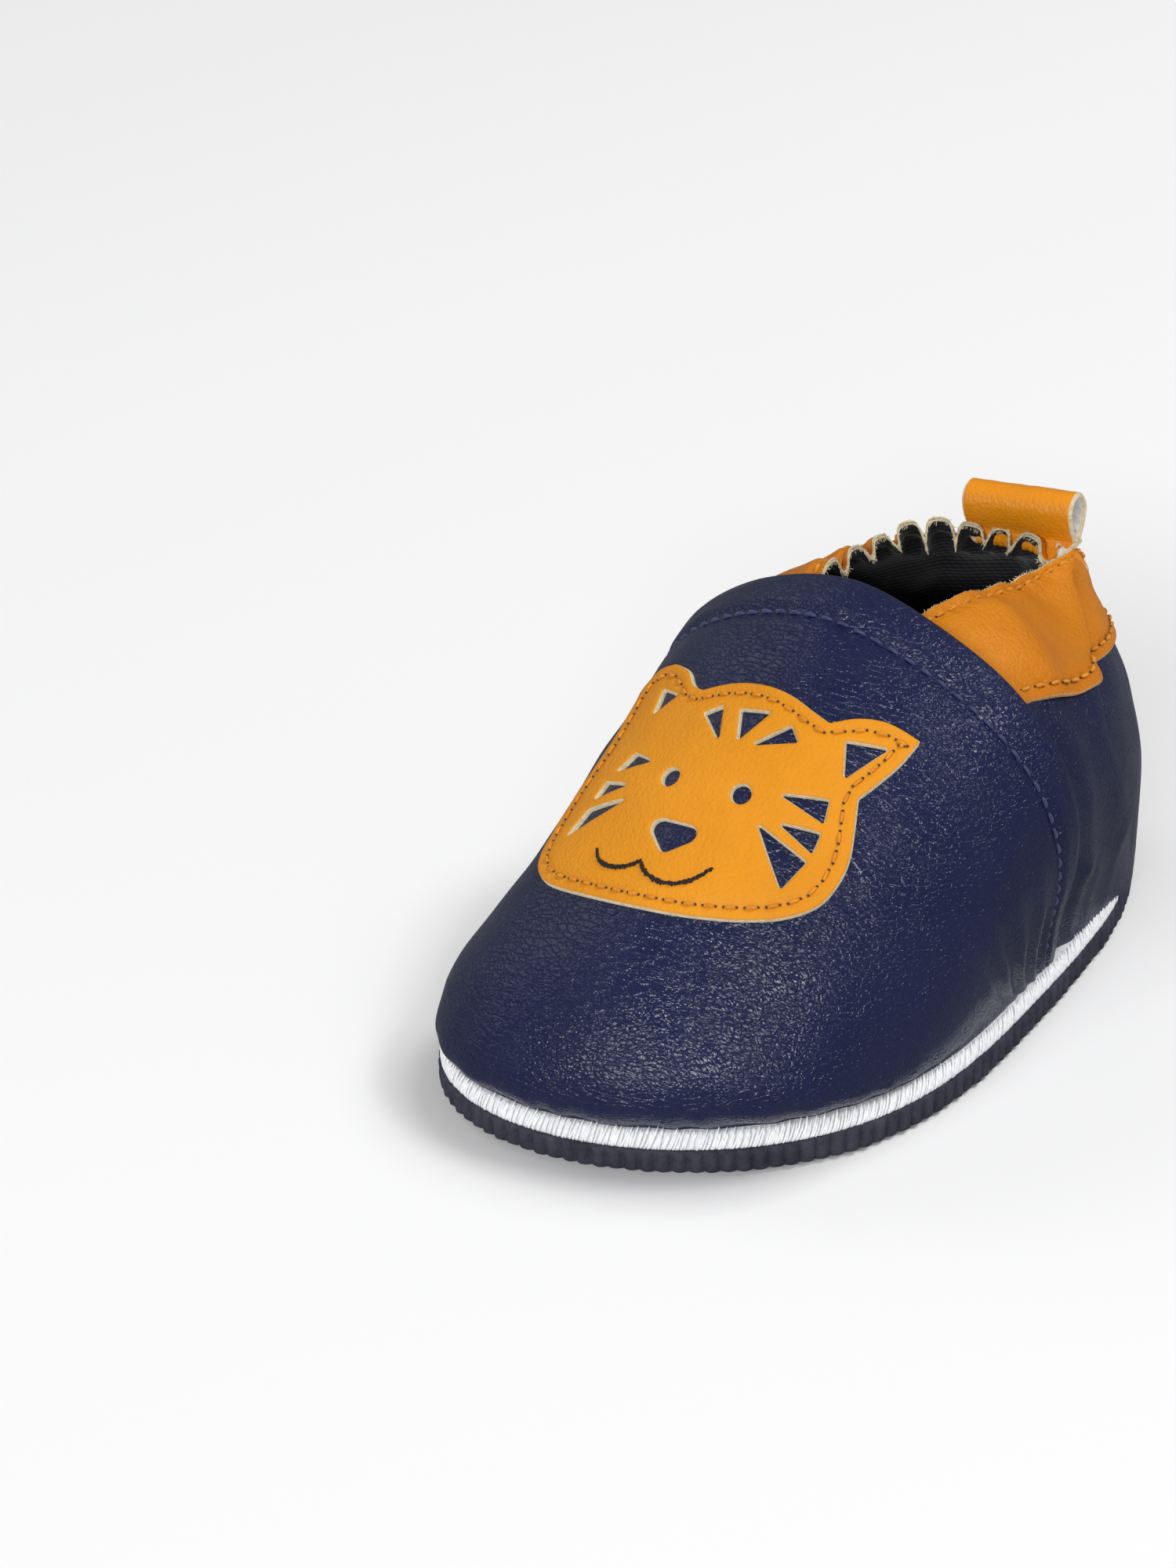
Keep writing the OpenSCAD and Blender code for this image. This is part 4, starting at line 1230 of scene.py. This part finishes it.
def build_patch():
    """Mustard face patch that lies on the vamp, dented along its seam, with pale cut edges."""
    tree = vamp_tree()
    rim, holes = patch_loops()
    verts, faces = flat_patch(rim, holes)
    stitch_loop = resampled(inset(rim, PATCH_MARGIN), STITCH_PITCH*0.94, closed=True)
    ground, ups = drop_on_vamp(verts, tree)
    worn = 0.16*(1 - np.clip(edge_gap(verts, [rim] + holes)/0.3, 0, 1))**2
    height = PATCH_T - worn - 0.30*bump(edge_gap(verts, [stitch_loop[:-1]]), 0, 0.55)
    top = ground + ups*(height + 0.05*noise(ground, 3.0, 63))[:, None]

    sides = dict.fromkeys((a, b) for f in faces for a, b in zip(f, np.roll(f, -1)))
    border = [(a, b) for a, b in sides if (b, a) not in sides]
    out = np.zeros_like(verts)
    for a, b in border:
        d = unit(verts[b] - verts[a])
        out[[a, b]] += [d[1], -d[0]]
    ends = sorted({k for pair in border for k in pair})
    foot, foot_up = drop_on_vamp(verts[ends] + unit(out[ends])*0.22, tree)
    foot = foot - foot_up*0.05
    belly = mix(top[ends], foot, 0.5) + 0.10*(foot - ground[ends])
    middle = {k: len(top) + i for i, k in enumerate(ends)}
    walls = []
    for a, b in border:
        c, d = middle[a], middle[b]
        walls += [[b, a, c, d], [d, c, c + len(ends), d + len(ends)]]
    kinds = [0]*len(faces) + [1]*len(walls)
    patch = mesh_piece("face_patch_leather", np.vstack([top, belly, foot]), [*faces, *walls], [PATCH, CREAM], kinds)
    fitted(patch, "patch_leather", "face_patch")
    build_patch_seam(stitch_loop, tree)
    build_mouth(tree)


def build_patch_seam(loop, tree):
    line, up = drop_on_vamp(loop, tree)
    line = line + up*(PATCH_T - 0.12)
    seam = stitched("face_patch_topstitch", line, up, PATCH_THREAD, radius=0.27, fill=0.62, arch=0.22, sink=0.08,
                    wander=0.04)
    fitted(seam, "mustard_thread", "face_patch_stitching")
    marks = np.vstack([line[:-1], mix(line[:-1], line[1:], 0.62)])
    ups = np.vstack([up[:-1], up[:-1]])
    fitted(needle_holes("face_patch_needle_holes", marks - ups*0.02, ups, 0.25), "mustard_thread")


def build_mouth(tree):
    """A chain of short satin stitches along the mouth's line."""
    there_and_back = curved(MOUTH + MOUTH[-2:0:-1], per=10, corner=MOUTH_CORNERS)
    line, up = drop_on_vamp(resampled(there_and_back[:(len(MOUTH) - 1)*10 + 1], 0.42), tree)
    line = line + up*(PATCH_T - 0.05)
    along = unit(np.gradient(line, axis=0))
    side = unit(np.cross(along, up))
    rng = np.random.default_rng(8)
    full = np.clip(np.sin(np.linspace(0, math.pi, len(line)))*5, 0, 1)
    reach = side*(0.10 + 0.24*full + rng.normal(0, 0.09, len(line)))[:, None]
    reach = reach + along*rng.uniform(0.25, 0.65, (len(line), 1))
    mouth = threads("mouth_satin_stitch", line - reach, line + reach, up, radius=0.21, arch=0.22,
                    material=BROWN_THREAD)
    fitted(mouth, "mouth_thread", "mouth_embroidery")


# ---------------------------------------------------------------- stage
# Direction round from the toe towards the outer side, and height, in degrees; then the distance
CAMERA_AZ, CAMERA_EL, CAMERA_FAR = 35.4, 32.08, 638.0
LENS, SENSOR = 96.12, 36.0
AIM_RIGHT, AIM_DOWN = 0.0586, 0.0476  # where the part's middle lies off the line of sight, per unit of distance


def direction(azimuth, elevation):
    """Unit vector to a place round from the toe towards the outer side, and up."""
    az, el = math.radians(azimuth), math.radians(elevation)
    return Vector((math.sin(az)*math.cos(el), -math.cos(az)*math.cos(el), math.sin(el)))


def build_camera():
    data = bpy.data.cameras.new("camera")
    data.lens, data.sensor_width = LENS, SENSOR
    data.clip_start, data.clip_end = 0.01, 50
    camera = put_in_scene("camera", data)
    back = direction(CAMERA_AZ, CAMERA_EL)
    aim = Vector((AIM_RIGHT, -AIM_DOWN, -1)).normalized()
    turn = Vector((0, 0, -1)).rotation_difference(aim)
    camera.rotation_mode = "QUATERNION"
    camera.rotation_quaternion = (-back).to_track_quat("-Z", "Y") @ turn.inverted()
    camera.location = back*CAMERA_FAR*MM - Vector(MIDDLE)*MM
    bpy.context.scene.camera = camera


def area_light(name, place, size, power_w, glossy):
    data = bpy.data.lights.new(name, "AREA")
    data.shape = "RECTANGLE"
    data.size, data.size_y = size
    data.energy = power_w
    lamp = put_in_scene(name, data)
    lamp.location = place
    lamp.rotation_mode = "QUATERNION"
    lamp.rotation_quaternion = (Vector(LIGHT_TARGET) - place).to_track_quat("-Z", "Y")
    lamp.visible_glossy = glossy


# Name, direction round from the toe towards the outer side, height, size in metres, power, seen in the gloss
LIGHT_FAR, LIGHT_TARGET = 2.4, (0, 0, 0.03)
FLOOR_HALF = 6.0
LIGHTS = [("front_softbox", 16, 27, (2.2, 0.18), 42.0, True), ("rear_strip", 118, 54, (0.7, 0.35), 12.0, True),
          ("rear_softbox", 142, 60, (1.3, 1.3), 28.0, False), ("left_softbox", -86, 38, (1.2, 1.4), 5.5, True)]


def build_stage():
    mesh = bpy.data.meshes.new("studio_floor")
    corners = [(x*FLOOR_HALF, y*FLOOR_HALF, 0) for x, y in ((-1, -1), (1, -1), (1, 1), (-1, 1))]
    mesh.from_pydata(corners, [], [(0, 1, 2, 3)])
    mesh.materials.append(plain_floor())
    floor = put_in_scene("studio_floor", mesh)
    floor.visible_glossy = False
    world = bpy.data.worlds.new("studio")
    world.use_nodes = True
    sky = world.node_tree.nodes["Background"].inputs
    sky["Color"].default_value, sky["Strength"].default_value = (0.99, 0.995, 1, 1), 0.21
    bpy.context.scene.world = world
    bpy.context.scene.view_settings.view_transform = "Standard"
    for name, azimuth, elevation, size, power_w, glossy in LIGHTS:
        area_light(name, direction(azimuth, elevation)*LIGHT_FAR, size, power_w, glossy)


# ---------------------------------------------------------------- build
build_camera()
build_stage()
build_outsole()
build_welt()
build_overlock()
build_insole()
build_vamp()
build_vamp_lining()
build_throat_seam()
stations = np.linspace(-BACK_END, BACK_END, 561)
build_quarter(stations)
build_collar(stations)
build_back_lining(stations)
build_elastic()
build_rim(stations)
build_back_seams()
build_loop()
build_box_stitch()
build_patch()
